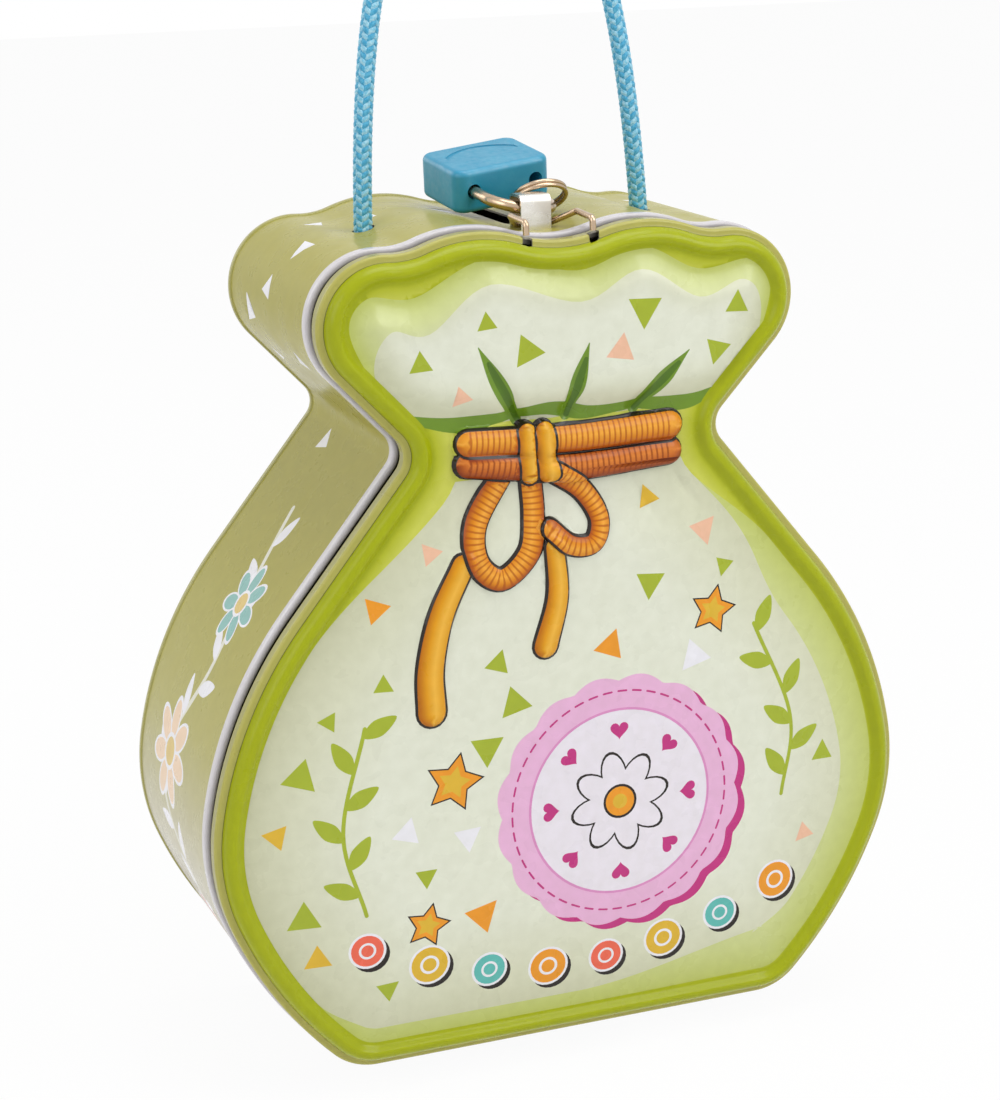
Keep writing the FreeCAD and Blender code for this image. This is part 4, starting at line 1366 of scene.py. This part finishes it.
def braid(path, radius, strands, pitch, material_count):
    """Strands that wind both ways round a path and pass over and under one another."""
    line, marks = even_points(path, pitch / BRAID_STEPS)
    tangents = np.gradient(line, axis=0)
    across = np.cross(tangents, (0.0, 1.0, 0.0))
    tangents /= np.linalg.norm(tangents, axis=1)[:, None]
    across /= np.linalg.norm(across, axis=1)[:, None]
    other = np.cross(tangents, across)
    thick = radius * STRAND_THICKNESS
    wide = radius * STRAND_WIDTH
    turn = 2 * math.pi * marks / pitch
    tubes = []
    for way in (-1, 1):
        for strand in range(strands):
            angle = way * turn + 2 * math.pi * strand / strands
            weave = np.cos(strands * turn / 2 + math.pi * strand)
            reach = radius - thick * STRAND_SEAT + way * weave * thick * STRAND_WEAVE
            ring = np.cos(angle)[:, None] * across + np.sin(angle)[:, None] * other
            centre = line + ring * reach[:, None]
            strand_way = np.gradient(centre, axis=0)
            strand_way /= np.linalg.norm(strand_way, axis=1)[:, None]
            flat = np.cross(strand_way, ring)
            rows = tube_rows(centre, flat * wide, ring * thick, STRAND_SIDES)
            tubes.append((rows, strand % material_count))
    core = carried_normals(tangents) * radius * CORE_RADIUS
    tubes.append((tube_rows(line, core, np.cross(tangents, core), CORE_SIDES), 0))
    points, faces, looks = [], [], []
    for rows, look in tubes:
        new_faces = tube_faces(rows, len(points))
        points += list(rows.reshape(-1, 3))
        faces += new_faces
        looks += [look] * len(new_faces)
    return points, faces, looks


def build_cord():
    yarns = [yarn("cord_blue", "#2a97c4", "#5fbadc"), yarn("cord_pale", "#6fc0de", "#b4e0ef")]
    path = route_points()
    points, faces, looks = braid(path, CORD_DIAMETER / 2 * MM, BRAID_STRANDS, BRAID_PITCH, len(yarns))
    cord = mesh_piece("cord", points, faces, looks, yarns)
    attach(cord, "tin")
    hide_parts("cord_handle")
    knots = [build_knot(name, yarns) for name in ("left", "right")]


def build_knot(name, yarns):
    """Overhand knot under the top of the tin, drawn as a trefoil of the same braid."""
    low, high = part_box("cord_knot_" + name)
    centre = np.array((low + high) / 2)
    turn = np.linspace(0, 2 * math.pi, 90)
    trefoil = np.column_stack((
        np.sin(turn) + 2 * np.sin(2 * turn),
        np.cos(turn) - 2 * np.cos(2 * turn),
        -1.1 * np.sin(3 * turn),
    ))
    path = trefoil * KNOT_SIZE + centre
    points, faces, looks = braid(path, KNOT_RADIUS * MM, KNOT_STRANDS, BRAID_PITCH, len(yarns))
    knot = mesh_piece("knot_" + name, points, faces, looks, yarns)
    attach(knot, "tin")
    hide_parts("cord_knot_" + name)
    return knot


# Carried-over parts

def dress_parts():
    """Materials of the parts that come straight from the solids."""
    looks = {
        "back_panel": back_print,
        "hasp_staple": bare_tin,
        "latch_clasp": nickel_wire,
        "padlock_case": padlock_blue,
        "padlock_shackle": nickel_wire,
        "padlock_plug": brass,
        "padlock_bolt": brass,
        "padlock_spring": nickel_wire,
        "shackle_retainer": nickel_wire,
        "key_ring": nickel_wire,
    }
    for side in ("left", "right"):
        for name in ("body_hinge_", "lid_hinge_", "hinge_pin_"):
            looks[name + side] = bare_tin
    for name, material in looks.items():
        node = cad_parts[name]
        node.data.materials.clear()
        node.data.materials.append(material)


# Stage

WHITE = (1.0, 1.0, 1.0, 1.0)
FLOOR_REACH = 3.0
FLOOR_Z = -0.005
FLOOR_SHADE = 0.9
FLOOR_GLOW = 0.95
WORLD_LIGHT = 0.45
LAMP_TARGET = Vector((0.0, 0.0, 0.085))
# Large soft lamps: name, place, size and power
LAMPS = (
    ("key", (0.5, -0.6, 0.65), 0.6, 3.0),
    ("fill", (-0.85, -0.35, 0.5), 0.7, 1.9),
    ("top", (0.1, -0.1, 0.9), 0.6, 2.8),
    ("back", (-0.6, 0.7, 0.5), 0.6, 1.6),
)


def stage_material(name, shade):
    """Pale surface that shows nearly white to the camera and still takes the shadow."""
    material = bpy.data.materials.new(name)
    material.use_nodes = True
    tree = material.node_tree
    tree.nodes.clear()
    output = add_node(tree, "ShaderNodeOutputMaterial")
    matt = add_node(tree, "ShaderNodeBsdfDiffuse", Color=(shade, shade, shade, 1.0))
    glow = add_node(tree, "ShaderNodeEmission", Color=WHITE, Strength=1.0)
    blend = add_node(tree, "ShaderNodeMixShader")
    link(spread(tree, seen_rays(tree), 0.0, 1.0, 0.0, FLOOR_GLOW), blend, "Fac")
    link(matt.outputs["BSDF"], blend, 1)
    link(glow.outputs["Emission"], blend, 2)
    link(blend.outputs["Shader"], output, "Surface")
    return material


def seen_rays(tree):
    """One for rays from the camera, from gloss and through glass, and nought for the rest."""
    path = add_node(tree, "ShaderNodeLightPath")
    seen = path.outputs["Is Camera Ray"]
    for kind in ("Is Glossy Ray", "Is Transmission Ray"):
        larger = add_node(tree, "ShaderNodeMath", operation="MAXIMUM")
        link(seen, larger, 0)
        link(path.outputs[kind], larger, 1)
        seen = larger.outputs["Value"]
    return seen


def build_floor():
    """Floor a little below the tin, so that the open lid clears it."""
    mesh = bpy.data.meshes.new("floor")
    corners = [(x * FLOOR_REACH, y * FLOOR_REACH, FLOOR_Z) for x, y in ((-1, -1), (1, -1), (1, 1), (-1, 1))]
    mesh.from_pydata(corners, [], [(0, 1, 2, 3)])
    mesh.materials.append(stage_material("floor_white", FLOOR_SHADE))
    new_object("floor", mesh)


def build_world():
    world = bpy.data.worlds.new("studio")
    world.use_nodes = True
    bpy.context.scene.world = world
    tree = world.node_tree
    background = tree.nodes["Background"]
    background.inputs["Color"].default_value = WHITE
    strength = spread(tree, seen_rays(tree), 0.0, 1.0, WORLD_LIGHT, 1.0)
    link(strength, background, "Strength")


def build_lights():
    """Key from the upper right, fill from the left, one lamp above and one behind."""
    for name, place, size, power in LAMPS:
        lamp = bpy.data.lights.new(name, "AREA")
        lamp.shape = "DISK"
        lamp.size = size
        lamp.energy = power
        holder = bpy.data.objects.new(name, lamp)
        bpy.context.scene.collection.objects.link(holder)
        holder.location = place
        holder.rotation_euler = (LAMP_TARGET - Vector(place)).to_track_quat("-Z", "Y").to_euler()


def build_camera():
    lens = bpy.data.cameras.new("camera")
    lens.sensor_fit = "VERTICAL"
    lens.sensor_height = SENSOR_HEIGHT
    lens.lens = SENSOR_HEIGHT * FOCAL_PIXELS / IMAGE_HEIGHT
    lens.clip_start = 0.01
    camera = bpy.data.objects.new("camera", lens)
    bpy.context.scene.collection.objects.link(camera)
    backward = CAMERA_RIGHT.cross(CAMERA_UP)
    turn = Matrix((CAMERA_RIGHT, CAMERA_UP, backward)).transposed().to_4x4()
    camera.matrix_world = Matrix.Translation(CAMERA_PLACE) @ turn
    bpy.context.scene.camera = camera


build_camera()
build_cord()
build_lid()
build_band()
build_hem_and_seam()
dress_parts()
build_floor()
build_world()
build_lights()
bpy.context.scene.view_settings.view_transform = "Standard"
